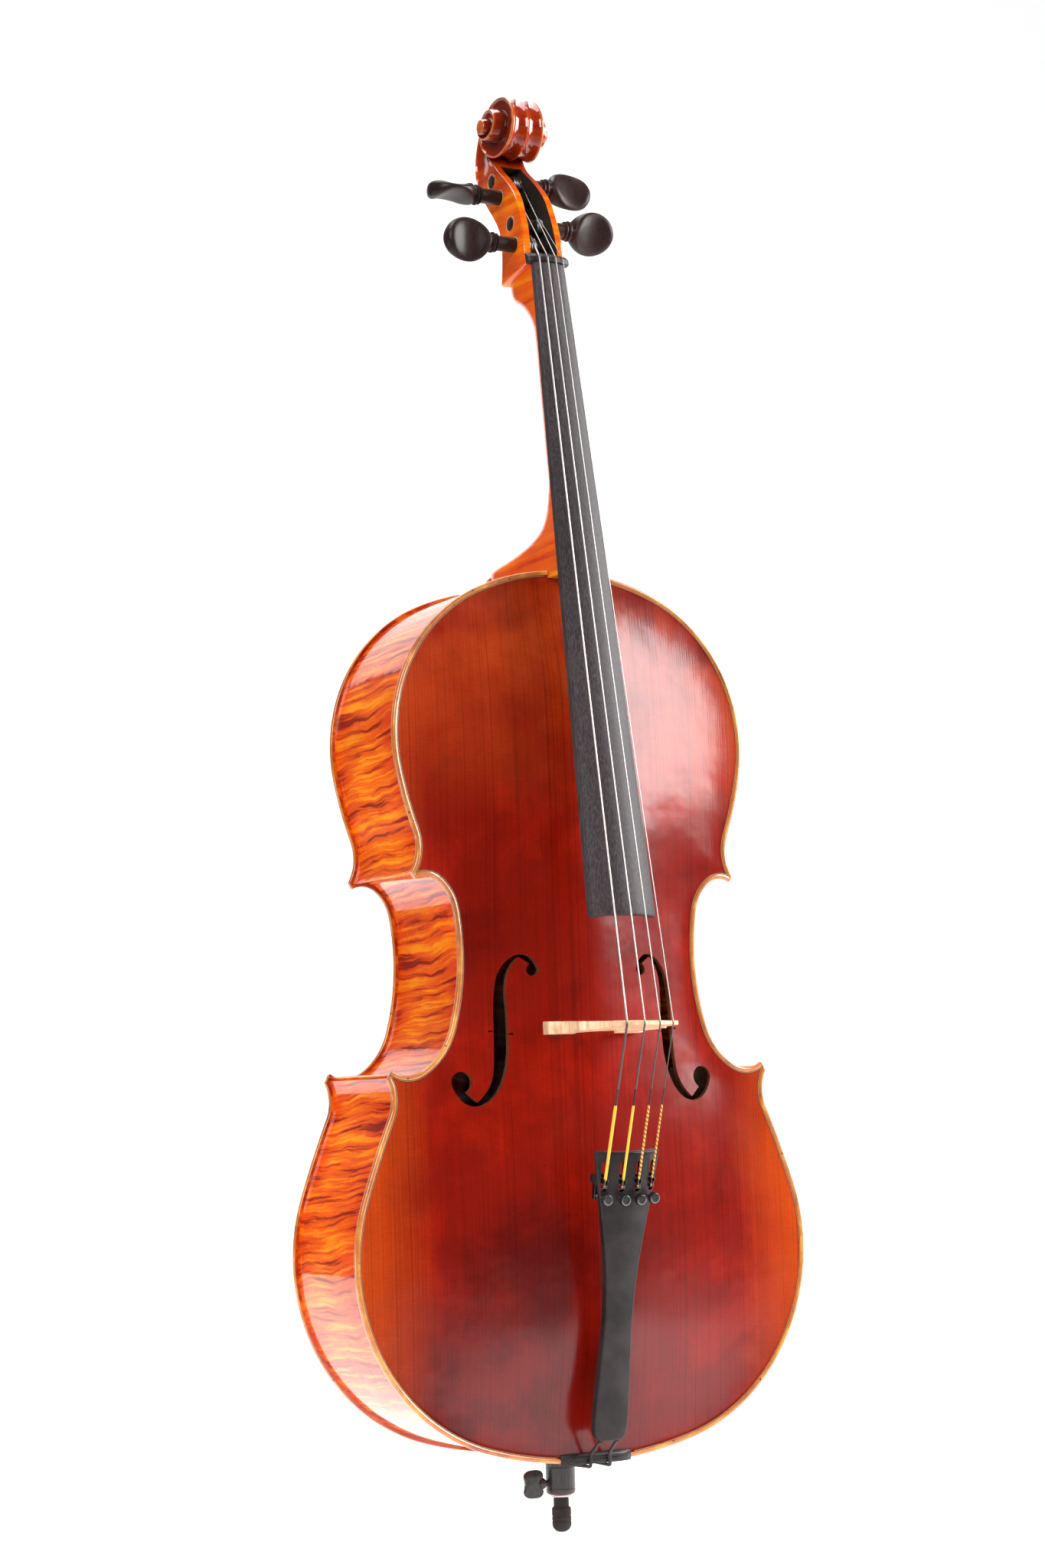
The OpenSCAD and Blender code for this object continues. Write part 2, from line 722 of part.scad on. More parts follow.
module coil(i) {
    s = strings[i];
    color("silver")
        translate([coil_x[i], pegs[i][2], body_z + pegs[i][3]])
            rotate([0, 90, 0])
                for (k = [0:s[2] - 1])
                    translate([0, 0, (k - s[2] / 2) * (2 * s[1] + coil_turn_gap)])
                        rotate_extrude()
                            translate([peg_r + s[1], 0])
                                circle(r = s[1], $fn = 16);
}
module coil_c() { coil(0); }
module coil_g() { coil(1); }
module coil_d() { coil(2); }
module coil_a() { coil(3); }

module rod_between(a, b, r) {
    v = b - a;
    translate(a)
        rotate([0, atan2(norm([v[0], v[1]]), v[2]), atan2(v[1], v[0])])
            cylinder(h = norm(v), r = r, $fn = 24);
}

// The playing line: peg coil, nut, bridge, fine tuner
function nut_point(i) =
    let (x = (i - 1.5) * string_gap_nut)
    [x, nut_front_y + (board_r - sqrt(board_r * board_r - x * x)) - strings[i][1] - 0.1,
     body_z + nut_z + nut_t / 2];
bridge_crest_r = 62;
function bridge_crest_y(x) =
    -bridge_top_y + (bridge_crest_r - sqrt(bridge_crest_r * bridge_crest_r - x * x)) - x * 0.03;
function bridge_point(i) =
    let (x = (i - 1.5) * string_gap_bridge)
    [x, bridge_crest_y(x) - strings[i][1] - 0.05, body_z + bridge_z];
// Where a string leaves its coil on a tangent, lying just on the turns
function leave_point(i) =
    let (p = pegs[i], n = nut_point(i), r = peg_r + 3 * strings[i][1] + 0.1,
         v = [n[1] - p[2], n[2] - body_z - p[3]], turn = atan2(v[1], v[0]) - acos(r / norm(v)))
    [coil_x[i], p[2] + r * cos(turn), body_z + p[3] + r * sin(turn)];
// The ball at a string's end sits behind its lever's hook
function tail_point(i) =
    tail_place([tuner_x(i), arch_y(tuner_x(i)) - 1, pivot_v - hook_w / 2 - ball_gap - ball_r]);

module string(i) {
    s = strings[i];
    top = nut_point(i);
    peg_point = leave_point(i);
    color("gainsboro") {
        rod_between(peg_point, top, s[1]);
        rod_between(top, bridge_point(i), s[1]);
        rod_between(bridge_point(i), tail_point(i), s[1]);
        for (q = [top, bridge_point(i)])
            translate(q)
                sphere(r = s[1] + knuckle, $fn = 24);
        translate(tail_point(i))
            sphere(r = ball_r, $fn = 24);
    }
}
module string_c() { string(0); }
module string_g() { string(1); }
module string_d() { string(2); }
module string_a() { string(3); }

ball_r = 2;
knuckle = 0.12;
silk_from = 0.5;
silk_to = 0.9;
silk_t = 0.35;

module tail_silks() {
    color("gold")
        for (i = [0:3]) {
            a = bridge_point(i);
            v = tail_point(i) - a;
            difference() {
                rod_between(a + silk_from * v, a + silk_to * v, strings[i][1] + silk_t);
                rod_between(a + (silk_from - 0.1) * v, a + (silk_to + 0.1) * v, strings[i][1]);
            }
        }
}

// ---- Bridge ----
bridge_foot_t = 11;
bridge_crown_t = 3;
foot_y = -rib_half - arch_h + 0.3;
foot_len = 26;

module bridge() {
    crest_pts = [for (x = [28:-4:-28]) [x, bridge_crest_y(x)]];
    blank = concat([[bridge_half, foot_y + 4], [bridge_half, foot_y - 2],
                    [bridge_half - 9, foot_y - 9], [34, foot_y - 28], [38, foot_y - 42],
                    [31, foot_y - 60]], crest_pts,
                   [[-31, foot_y - 60], [-38, foot_y - 42], [-34, foot_y - 28],
                    [-bridge_half + 9, foot_y - 9], [-bridge_half, foot_y - 2],
                    [-bridge_half, foot_y + 4], [-bridge_half + foot_len, foot_y - 0.5],
                    [-bridge_half + foot_len - 3, foot_y - 10], [-15, foot_y - 24],
                    [0, foot_y - 31], [15, foot_y - 24],
                    [bridge_half - foot_len + 3, foot_y - 10],
                    [bridge_half - foot_len, foot_y - 0.5]]);
    color("wheat")
        difference() {
            intersection() {
                translate([0, 0, body_z + bridge_z - bridge_foot_t])
                    linear_extrude(2 * bridge_foot_t)
                        polygon(blank);
                translate([-60, 0, body_z + bridge_z])
                    rotate([90, 0, 90])
                        linear_extrude(120)
                            polygon([[foot_y + 5, -bridge_foot_t / 2], [foot_y + 5, bridge_foot_t / 2],
                                     [-bridge_top_y - 2, bridge_crown_t / 2],
                                     [-bridge_top_y - 2, -bridge_crown_t / 2]]);
            }
            for (x = [-19, 19])
                translate([x, foot_y - 48, body_z + bridge_z - 10])
                    cylinder(h = 20, r = 7.5);
            for (x = [-4.5, 4.5])
                translate([x, foot_y - 56, body_z + bridge_z - 10])
                    cylinder(h = 20, r = 5);
            translate([0, foot_y - 46, body_z + bridge_z - 10])
                cylinder(h = 20, r = 4);
        }
}

// ---- Tailpiece, in a frame whose Z runs up its length and -Y points out of its face ----
tail_top_y = -128.5;
tail_end_y = -80;
tail_dz = tail_top_z - tail_end_z;
tail_tilt = atan2(tail_end_y - tail_top_y, tail_dz);
tail_len = norm([tail_end_y - tail_top_y, tail_dz]);
tail_arch_r = 64;
tail_rise = 7.6;
slot_w = 5;
slot_v0 = tail_len - 33.5;
slot_v1 = tail_len - 8;
knob_v = tail_len - 38.5;
pivot_v = tail_len - 24;
pivot_depth = 11.5;
pivot_r = 1.2;
lever_t = 4;
lever_notch = 2.6;
hook_rise = 4;
hook_w = 3.6;
ball_gap = 1.1;
lug_t = 2.4;

function arch_y(x) = tail_arch_r - tail_rise - sqrt(tail_arch_r * tail_arch_r - x * x);
function tuner_x(i) = (i - 1.5) * tuner_gap;
function pivot_y(i) = arch_y(tuner_x(i)) + pivot_depth;

// A point of the tailpiece's frame in the whole object's frame
function tail_place(p) =
    [p[0], tail_end_y + p[1] * cos(tail_tilt) - p[2] * sin(tail_tilt),
     body_z + tail_end_z + p[1] * sin(tail_tilt) + p[2] * cos(tail_tilt)];

module tail_frame() {
    translate([0, tail_end_y, body_z + tail_end_z])
        rotate([tail_tilt, 0, 0])
            children();
}

tail_half = [[0, 13.5], [8, 15.2], [20, 15.8], [45, 15], [80, 13.6], [131 - 21, 13.2], [150, 16],
             [190, 22.5], [225, 28.5], [tail_len, 31]];

module tailpiece() {
    right = [for (p = tail_half) [p[1], p[0]]];
    color([0.07, 0.07, 0.07])
        tail_frame()
            difference() {
                union() {
                    intersection() {
                        translate([0, tail_arch_r - tail_rise, -5])
                            cylinder(h = tail_len + 10, r = tail_arch_r, $fn = 160);
                        translate([0, 20, 0])
                            rotate([90, 0, 0])
                                linear_extrude(60)
                                    polygon(concat(right, turned(mirrored(right))));
                        translate([-50, -40, -1])
                            cube([100, 40, tail_len + 2]);
                    }
                    for (i = [0:3], side = [-1, 1])
                        translate([tuner_x(i) + side * (slot_w / 2 + lug_t / 2) - lug_t / 2,
                                   arch_y(tuner_x(i)) + 3.5, pivot_v - 4])
                            cube([lug_t, pivot_depth, 8]);
                }
                // the hollow underneath the wide part
                translate([0, tail_arch_r - tail_rise + 5, 150])
                    cylinder(h = tail_len, r = tail_arch_r - 0.6, $fn = 160);
                for (i = [0:3]) {
                    x = tuner_x(i);
                    translate([x - slot_w / 2, -30, slot_v0])
                        cube([slot_w, 60, slot_v1 - slot_v0]);
                    translate([x, 5, knob_v])
                        rotate([90, 0, 0])
                            cylinder(h = 30, r = screw_r + 0.05);
                    translate([x - 6, pivot_y(i), pivot_v])
                        rotate([0, 90, 0])
                            cylinder(h = 12, r = pivot_r);
                }
                for (x = [-8, 8])
                    translate([x, -3.4, -1])
                        cylinder(h = 24, r = gut_r + 0.1);
            }
}

module tuner_pins() {
    color("dimgray")
        tail_frame()
            for (i = [0:3])
                translate([tuner_x(i) - slot_w / 2 - lug_t, pivot_y(i), pivot_v])
                    rotate([0, 90, 0])
                        cylinder(h = slot_w + 2 * lug_t, r = pivot_r);
}

arm_len = 17.5;

module tuner_lever(i) {
    y0 = pivot_y(i);
    top = arch_y(tuner_x(i)) - hook_rise;
    color("dimgray")
        tail_frame()
            translate([tuner_x(i), 0, pivot_v])
                difference() {
                    translate([-lever_t / 2, 0, 0])
                        rotate([90, 0, 90])
                            linear_extrude(lever_t)
                                polygon([[y0 + 3, -arm_len], [y0 + 3, 3], [y0 - 3, 3],
                                         [top, hook_w / 2], [top, -hook_w / 2], [y0 - 3, -2.5],
                                         [y0 - 1, -3.5], [y0 - 1, -arm_len]]);
                    translate([-5, y0, 0])
                        rotate([0, 90, 0])
                            cylinder(h = 10, r = pivot_r + 0.05);
                    translate([-lever_notch / 2, top - 1, -5])
                        cube([lever_notch, 6, 10]);
                }
}
module tuner_lever_c() { tuner_lever(0); }
module tuner_lever_g() { tuner_lever(1); }
module tuner_lever_d() { tuner_lever(2); }
module tuner_lever_a() { tuner_lever(3); }

screw_gap = 0.3;
knob_t = 5;
knob_lift = 4.5;

module tuner_screw(i) {
    x = tuner_x(i);
    y_low = pivot_y(i) - 1 - screw_gap;
    y_high = arch_y(x) - knob_lift - knob_t + 1;
    color("silver")
        tail_frame()
            translate([x, y_low, knob_v])
                rotate([90, 0, 0])
                    cylinder(h = y_low - y_high, r = screw_r);
}
module tuner_screw_c() { tuner_screw(0); }
module tuner_screw_g() { tuner_screw(1); }
module tuner_screw_d() { tuner_screw(2); }
module tuner_screw_a() { tuner_screw(3); }

module tuner_knob(i) {
    x = tuner_x(i);
    color([0.05, 0.05, 0.05])
        tail_frame()
            translate([x, arch_y(x) - knob_lift, knob_v])
                rotate([90, 0, 0])
                    rotate_extrude()
                        polygon([[screw_r + 0.05, 0], [knob_r - 0.6, 0], [knob_r, 0.6],
                                 [knob_r, knob_t - 0.8], [knob_r - 0.8, knob_t], [0, knob_t],
                                 [0, knob_t - 0.9], [screw_r + 0.05, knob_t - 0.9]]);
}
module tuner_knob_c() { tuner_knob(0); }
module tuner_knob_g() { tuner_knob(1); }
module tuner_knob_d() { tuner_knob(2); }
module tuner_knob_a() { tuner_knob(3); }

// ---- Tailgut: from the tailpiece over the saddle and round the collar ----
gut_r = 1.5;
gut_gap = 0.2;
saddle_y = -rib_half - edge_t - saddle_front;
function gut_route(side) = [
    tail_place([side * 8, -3.4, 22]),
    tail_place([side * 8, -3.4, 0]),
    [side * 9, saddle_y - gut_r - gut_gap, body_z + saddle_h - 1],
    [side * 9.5, saddle_y - gut_r - gut_gap, body_z - gut_r - gut_gap],
    [side * (collar_r + gut_r + 0.1), -4, body_z - gut_r - 2 * gut_gap],
    [side * (collar_r + gut_r + 0.1), 0, body_z - gut_r - 2 * gut_gap]];
module tailgut() {
    color([0.15, 0.15, 0.15]) {
        for (side = [-1, 1]) {
            route = gut_route(side);
            for (k = [0:len(route) - 2])
                rod_between(route[k], route[k + 1], gut_r);
            for (k = [1:len(route) - 1])
                translate(route[k])
                    sphere(r = gut_r + knuckle, $fn = 24);
        }
        translate([0, 0, body_z - gut_r - 2 * gut_gap])
            difference() {
                rotate_extrude()
                    translate([collar_r + gut_r + 0.1, 0])
                        circle(r = gut_r, $fn = 24);
                translate([-30, -30, -10])
                    cube([60, 30, 20]);
            }
    }
}

// ---- Endpin ----
plug_r = 10.5;
plug_len = 48;
bore_r = rod_r + rod_gap;
screw_z = body_z - 21;
thumb_r = 2.5;
thumb_gap = 0.05;

module endpin_collar() {
    color([0.18, 0.18, 0.19])
        difference() {
            translate([0, 0, body_z - collar_len])
                rotate_extrude()
                    polygon([[bore_r, 0], [collar_r - 1.2, 0], [collar_r, 1.2],
                             [collar_r, collar_len + 3.4], [plug_r, collar_len + 3.4],
                             [plug_r, collar_len + plug_len], [bore_r, collar_len + plug_len]]);
            translate([0, 0, screw_z])
                rotate([0, -90, 0])
                    cylinder(h = 20, r = thumb_r + thumb_gap);
        }
}

module endpin_ring() {
    color("lightgray")
        translate([0, 0, body_z - collar_len - ring_len])
            rotate_extrude()
                polygon([[bore_r, 0], [8.6, 0], [9.4, 0.8], [9.4, ring_len], [bore_r, ring_len]]);
}

module endpin_screw() {
    color("dimgray")
        translate([0, 0, screw_z])
            rotate([0, -90, 0]) {
                translate([0, 0, rod_r + 0.4])
                    cylinder(h = 12, r = thumb_r);
                translate([0, 0, 16])
                    intersection() {
                        cylinder(h = 20, r = 12);
                        translate([-12, -2.2, 0])
                            cube([24, 4.4, 20]);
                    }
            }
}

module endpin_rod() {
    color("silver")
        translate([0, 0, 8])
            cylinder(h = rod_len, r = rod_r);
}

module endpin_tip() {
    color([0.05, 0.05, 0.05])
        difference() {
            rotate_extrude()
                polygon([[0, 0], [5, 0], [7.4, 1.6], [tip_r, 4.5], [tip_r, 20], [6.6, 22],
                         [6.6, tip_len], [0, tip_len]]);
            translate([0, 0, 8])
                cylinder(h = 30, r = rod_r);
        }
}

belly();
back_plate();
rib_upper_bass();
rib_upper_treble();
rib_centre_bass();
rib_centre_treble();
rib_lower_bass();
rib_lower_treble();
purfling_belly();
purfling_back();
linings();
corner_blocks();
upper_block();
lower_block();
bass_bar();
sound_post();
saddle();
neck();
fingerboard();
nut();
bridge();
string_c();
string_g();
string_d();
string_a();
tail_silks();
tailpiece();
tuner_pins();
tailgut();
endpin_collar();
endpin_ring();
peg_c();
peg_g();
peg_d();
peg_a();
coil_c();
coil_g();
coil_d();
coil_a();
tuner_lever_c();
tuner_lever_g();
tuner_lever_d();
tuner_lever_a();
tuner_screw_c();
tuner_screw_g();
tuner_screw_d();
tuner_screw_a();
tuner_knob_c();
tuner_knob_g();
tuner_knob_d();
tuner_knob_a();
endpin_screw();
endpin_rod();
endpin_tip();
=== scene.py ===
"""Cello: the visual model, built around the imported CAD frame."""
import math

import bmesh
import bpy
import numpy as np
from mathutils import Matrix, Vector


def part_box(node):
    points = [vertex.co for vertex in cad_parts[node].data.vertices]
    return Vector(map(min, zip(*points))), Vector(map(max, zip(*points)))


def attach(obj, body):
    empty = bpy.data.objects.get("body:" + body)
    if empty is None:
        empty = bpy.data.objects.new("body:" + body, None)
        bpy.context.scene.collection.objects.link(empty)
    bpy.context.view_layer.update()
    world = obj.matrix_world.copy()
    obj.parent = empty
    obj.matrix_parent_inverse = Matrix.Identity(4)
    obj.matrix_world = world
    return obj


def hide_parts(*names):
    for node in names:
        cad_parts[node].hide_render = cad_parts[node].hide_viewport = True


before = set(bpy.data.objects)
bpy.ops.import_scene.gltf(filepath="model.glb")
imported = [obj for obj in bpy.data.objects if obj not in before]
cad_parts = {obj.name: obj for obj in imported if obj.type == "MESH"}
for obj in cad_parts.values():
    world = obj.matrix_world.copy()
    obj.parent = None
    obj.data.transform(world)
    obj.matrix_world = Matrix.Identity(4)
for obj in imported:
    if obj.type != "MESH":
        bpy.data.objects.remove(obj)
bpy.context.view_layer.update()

MM = 0.001
# Height of the body's bottom edge above the origin, in mm; lengths below are in mm from there
BODY_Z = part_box("back_plate")[0].z / MM
BODY_LEN = 755.0
RIB_HALF = 56.7


# ---------------------------------------------------------------- mesh helpers
def link(obj):
    bpy.context.scene.collection.objects.link(obj)
    return obj


def mesh_piece(name, verts, faces, mats, face_mats=None, raise_z=True):
    """A mesh object from points in mm; raise_z adds the body's height to z."""
    v = np.array(verts, float)
    if raise_z:
        v[:, 2] += BODY_Z
    me = bpy.data.meshes.new(name)
    me.from_pydata((v * MM).tolist(), [], [list(f) for f in faces])
    for m in mats:
        me.materials.append(m)
    if face_mats is not None:
        me.polygons.foreach_set("material_index", face_mats)
    me.polygons.foreach_set("use_smooth", [True] * len(me.polygons))
    me.update()
    return link(bpy.data.objects.new(name, me))


def settle(obj, merge=0.0, sharp=35.0):
    """Welds close points, makes the normals consistent and marks the sharp edges."""
    bm = bmesh.new()
    bm.from_mesh(obj.data)
    if merge:
        bmesh.ops.remove_doubles(bm, verts=bm.verts, dist=merge * MM)
        bmesh.ops.dissolve_degenerate(bm, edges=bm.edges, dist=merge * MM * 0.5)
    bmesh.ops.recalc_face_normals(bm, faces=bm.faces)
    limit = math.radians(sharp)
    for e in bm.edges:
        e.smooth = len(e.link_faces) == 2 and e.calc_face_angle(0.0) < limit
    bm.to_mesh(obj.data)
    bm.free()
    return obj


def grid_faces(rows, cols, closed_cols=True):
    """Quads of a grid of points stored row by row."""
    out = []
    for r in range(rows - 1):
        for c in range(cols if closed_cols else cols - 1):
            c2 = (c + 1) % cols
            out.append((r * cols + c, r * cols + c2, (r + 1) * cols + c2, (r + 1) * cols + c))
    return out


def prism_faces(n):
    """Faces of a prism whose two ends of n points are stored one after the other."""
    return [tuple(range(n)), tuple(range(2 * n - 1, n - 1, -1))] + [
        (i, (i + 1) % n, n + (i + 1) % n, n + i) for i in range(n)]


def loft(name, rings, mats, cap=True, sharp=35.0, merge=0.0, raise_z=True):
    """A skin over rings of equal length; cap closes both ends with flat faces."""
    n = len(rings[0])
    verts = [p for r in rings for p in r]
    faces = grid_faces(len(rings), n)
    if cap:
        faces.append(tuple(range(n))[::-1])
        faces.append(tuple((len(rings) - 1) * n + i for i in range(n)))
    return settle(mesh_piece(name, verts, faces, mats, raise_z=raise_z), merge, sharp)


def frames_along(path):
    """Unit tangent, side and up vectors at each point of a path, without twist."""
    p = np.array(path, float)
    t = np.gradient(p, axis=0)
    t /= np.linalg.norm(t, axis=1)[:, None]
    ref = np.array([1.0, 0, 0]) if abs(t[0][0]) < 0.8 else np.array([0, 0, 1.0])
    side = np.cross(t[0], ref)
    side /= np.linalg.norm(side)
    sides = [side]
    for i in range(1, len(p)):
        s = sides[-1] - t[i] * np.dot(sides[-1], t[i])
        sides.append(s / np.linalg.norm(s))
    sides = np.array(sides)
    return t, sides, np.cross(t, sides)


def tube_rings(path, radius, n):
    """Rings round a path; radius is one number, or one for each point."""
    _, a, b = frames_along(path)
    radii = radius if np.ndim(radius) else [radius] * len(path)
    out = []
    for i, p in enumerate(path):
        out.append([tuple(np.array(p) + radii[i] * (math.cos(w) * a[i] + math.sin(w) * b[i]))
                    for w in (2 * math.pi * k / n for k in range(n))])
    return out


def lathe(profile, n=48, origin=(0, 0, 0), axis="z"):
    """Rings of a turned form along z or x; profile is [(along, radius)] from end to end."""
    rings = []
    for along, r in profile:
        ring = []
        for k in range(n):
            w = 2 * math.pi * k / n
            u, v = r * math.cos(w), r * math.sin(w)
            q = (u, v, along) if axis == "z" else (along, u, v)
            ring.append((origin[0] + q[0], origin[1] + q[1], origin[2] + q[2]))
        rings.append(ring)
    return rings


def smooth_line(points, n):
    """A Catmull-Rom curve through the points, n steps for each stretch."""
    p = np.array(points, float)
    p = np.vstack([2 * p[0] - p[1], p, 2 * p[-1] - p[-2]])
    out = []
    for i in range(1, len(p) - 2):
        for k in range(n):
            t = k / n
            out.append(0.5 * ((2 * p[i]) + (p[i + 1] - p[i - 1]) * t
                              + (2 * p[i - 1] - 5 * p[i] + 4 * p[i + 1] - p[i + 2]) * t * t
                              + (3 * p[i] - p[i - 1] - 3 * p[i + 1] + p[i + 2]) * t ** 3))
    out.append(p[-2])
    return np.array(out)


def bezier(p, t):
    """The point at t on a cubic curve with four control points."""
    p = np.array(p, float)
    return ((1 - t) ** 3 * p[0] + 3 * (1 - t) ** 2 * t * p[1] + 3 * (1 - t) * t * t * p[2]
            + t ** 3 * p[3])


def cut_away(obj, cutters):
    """Subtracts closed meshes from a piece and deletes them."""
    group = bpy.data.collections.new(obj.name + "_cutters")
    bpy.context.scene.collection.children.link(group)
    for c in cutters:
        bpy.context.scene.collection.objects.unlink(c)
        group.objects.link(c)
    mod = obj.modifiers.new("cut", "BOOLEAN")
    mod.operation = "DIFFERENCE"
    mod.solver = "EXACT"
    mod.operand_type = "COLLECTION"
    mod.collection = group
    mod.material_mode = "TRANSFER"
    bpy.context.view_layer.update()
    done = bpy.data.meshes.new_from_object(
        obj.evaluated_get(bpy.context.evaluated_depsgraph_get()))
    obj.modifiers.clear()
    obj.data = done
    for c in cutters:
        bpy.data.objects.remove(c)
    bpy.data.collections.remove(group)
    return obj


def piece(obj, body, slot, *nodes):
    """The piece rides its body and stands for CAD nodes; slot is not used."""
    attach(obj, body)
    if nodes:
        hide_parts(*nodes)
    return obj


# ---------------------------------------------------------------- shader helper
class Finish:
    """A Principled material with short calls for its procedural nodes."""

    def __init__(self, name, **sockets):
        self.mat = bpy.data.materials.new(name)
        self.mat.use_nodes = True
        self.tree = self.mat.node_tree
        self.base = self.tree.nodes["Principled BSDF"]
        self.set(**sockets)

    def set(self, **sockets):
        for key, value in sockets.items():
            self.plug(self.base.inputs[key.replace("_", " ")], value)

    def plug(self, socket, value):
        if isinstance(value, bpy.types.NodeSocket):
            self.tree.links.new(value, socket)
        elif isinstance(value, (tuple, list)) and len(value) == 3 and socket.type == "RGBA":
            socket.default_value = (*value, 1)
        else:
            socket.default_value = value

    def node(self, kind, out=0, props=None, ins=None):
        n = self.tree.nodes.new("ShaderNode" + kind)
        for k, v in (props or {}).items():
            setattr(n, k, v)
        for k, v in (ins or {}).items():
            self.plug(n.inputs[k], v)
        return n.outputs[out]

    def place(self, scale=(1, 1, 1), rot=(0, 0, 0), uv=None):
        """Coordinates in metres, from the object's own frame or from a UV map."""
        if uv:
            src = self.node("UVMap", props={"uv_map": uv})
        else:
            src = self.node("TexCoord", "Object")
        return self.node("Mapping", ins={"Vector": src, "Scale": scale, "Rotation": rot})

    def noise(self, vec, scale, detail=3.0, rough=0.55, warp=0.0, out=0):
        return self.node("TexNoise", out, ins={"Vector": vec, "Scale": scale, "Detail": detail,
                                               "Roughness": rough, "Distortion": warp})

    def cells(self, vec, scale):
        return self.node("TexVoronoi", ins={"Vector": vec, "Scale": scale})

    def ramp(self, fac, stops, smooth=True):
        n = self.tree.nodes.new("ShaderNodeValToRGB")
        self.tree.links.new(fac, n.inputs[0])
        if smooth:
            n.color_ramp.interpolation = "EASE"
        el = n.color_ramp.elements
        while len(el) < len(stops):
            el.new(0.5)
        for e, (pos, col) in zip(el, stops):
            e.position = pos
            e.color = (*col, 1) if isinstance(col, tuple) else (col, col, col, 1)
        return n.outputs[0]

    def mix(self, fac, a, b, mode="MIX"):
        n = self.tree.nodes.new("ShaderNodeMix")
        n.data_type = "RGBA"
        n.blend_type = mode
        for s, v in ((n.inputs[0], fac), (n.inputs[6], a), (n.inputs[7], b)):
            self.plug(s, v)
        return n.outputs[2]

    def math(self, op, a, b=0.0):
        n = self.tree.nodes.new("ShaderNodeMath")
        n.operation = op
        self.plug(n.inputs[0], a)
        self.plug(n.inputs[1], b)
        return n.outputs[0]

    def remap(self, v, a, b, c=0.0, d=1.0):
        return self.node("MapRange", ins={"Value": v, "From Min": a, "From Max": b,
                                          "To Min": c, "To Max": d})

    def axis(self, vec, index):
        return self.node("SeparateXYZ", index, ins={"Vector": vec})

    def blend(self, a, b, share):
        """The first value times share, plus the second times the rest."""
        return self.math("ADD", self.math("MULTIPLY", a, share),
                         self.math("MULTIPLY", b, round(1 - share, 6)))

    def darken(self, amount, color, by):
        return self.mix(amount, color, self.mix(1.0, color, by, "MULTIPLY"))

    def bump(self, height, strength, distance, under=None):
        ins = {"Height": height, "Strength": strength, "Distance": distance}
        if under is not None:
            ins["Normal"] = under
        return self.node("Bump", ins=ins)


# ---------------------------------------------------------------- outline of the body
UPPER = [(218, -23.8), (141, -77.7), (340, -8.9), (40.5, 52.1)]
LOWER = [(357, 16), (165.5, 92.9), (872, 4.6), (35, -51.4)]
WAIST_UP = [(225, -9.5), (39, -39.8), (20, -68.2)]
WAIST_DOWN = [(208, 17.3), (59.5, 44.3), (24.5, 64.1)]
WAIST = (116.2, 425)
# Spacing of points along an arc, and how far an arc stops short of a corner (mm x degrees)
POINT_GAP = 3.0
CORNER_GAP = 0.25 * 57.3
MIN_STEPS, LAST_STEPS = 2, 16


def arc_point(p, h, r, side, t):
    """From point p and heading h, the point t degrees on along an arc that turns to side."""
    cx = p[0] - side * r * math.sin(math.radians(h))
    cy = p[1] + side * r * math.cos(math.radians(h))
    return (cx + side * r * math.sin(math.radians(h + t)),
            cy - side * r * math.cos(math.radians(h + t)))


def chain(p, h, arcs, last, counts):
    """Points along joined arcs (radius, degrees); the last one is cut to last degrees."""
    out = [p]
    for i, (r, a) in enumerate(arcs):
        side = 1 if a > 0 else -1
        sweep = side * last if i == len(arcs) - 1 else a
        for k in range(1, counts[i] + 1):
            out.append(arc_point(p, h, r, side, sweep * k / counts[i]))
        p = out[-1]
        h += sweep
    return out


def trimmed(ca, cb, pick, d):
    """Two chains of arcs that meet at a corner, moved inwards by d and trimmed there."""
    ends = []
    for start, h, arcs, inner in (ca, cb):
        p = (start[0] - inner * d * math.sin(math.radians(h)),
             start[1] + inner * d * math.cos(math.radians(h)))
        moved = [(r - inner * math.copysign(d, a), a) for r, a in arcs]
        q, hq = p, h
        for r, a in moved[:-1]:
            q = arc_point(q, hq, r, math.copysign(1, a), a)
            hq += a
        r, a = moved[-1]
        s = math.copysign(1, a)
        c = (q[0] - s * r * math.sin(math.radians(hq)), q[1] + s * r * math.cos(math.radians(hq)))
        counts = [max(MIN_STEPS, math.ceil(rr * abs(math.radians(aa)) / POINT_GAP))
                  for rr, aa in arcs]
        counts[-1] = max(counts[-1], LAST_STEPS)
        ends.append((p, h, moved, q, hq, r, s, c, abs(a), counts))
    (xa, ya), ra, (xb, yb), rb = ends[0][7], ends[0][5], ends[1][7], ends[1][5]
    dd = math.hypot(xb - xa, yb - ya)
    along = (dd * dd + ra * ra - rb * rb) / (2 * dd)
    off = ra * ra - along * along
    out = []
    for p, h, moved, q, hq, r, s, c, full, counts in ends:
        use = full
        if off > 0:
            ux, uy = (xb - xa) / dd, (yb - ya) / dd
            m = (xa + along * ux - pick * math.sqrt(off) * uy,
                 ya + along * uy + pick * math.sqrt(off) * ux)
            t = math.degrees(math.atan2(s * (m[0] - c[0]), -s * (m[1] - c[1]))) - hq
            t = s * (t - 360 * round(t / 360)) - CORNER_GAP / r
            if t > 0:
                use = min(full, t)
        out.append(chain(p, h, moved, use, counts))
    return out


def half_ring(d):
    """The treble half of the outline moved in by d, from the bottom up, as lists by rib."""
    lo = trimmed(((0, 0), 0, LOWER, 1), (WAIST, -90, WAIST_DOWN, -1), 1, d)
    up = trimmed(((0, BODY_LEN), 0, UPPER, -1), (WAIST, 90, WAIST_UP, 1), -1, d)
    return lo[0], lo[1][::-1] + up[1][1:], up[0][::-1]


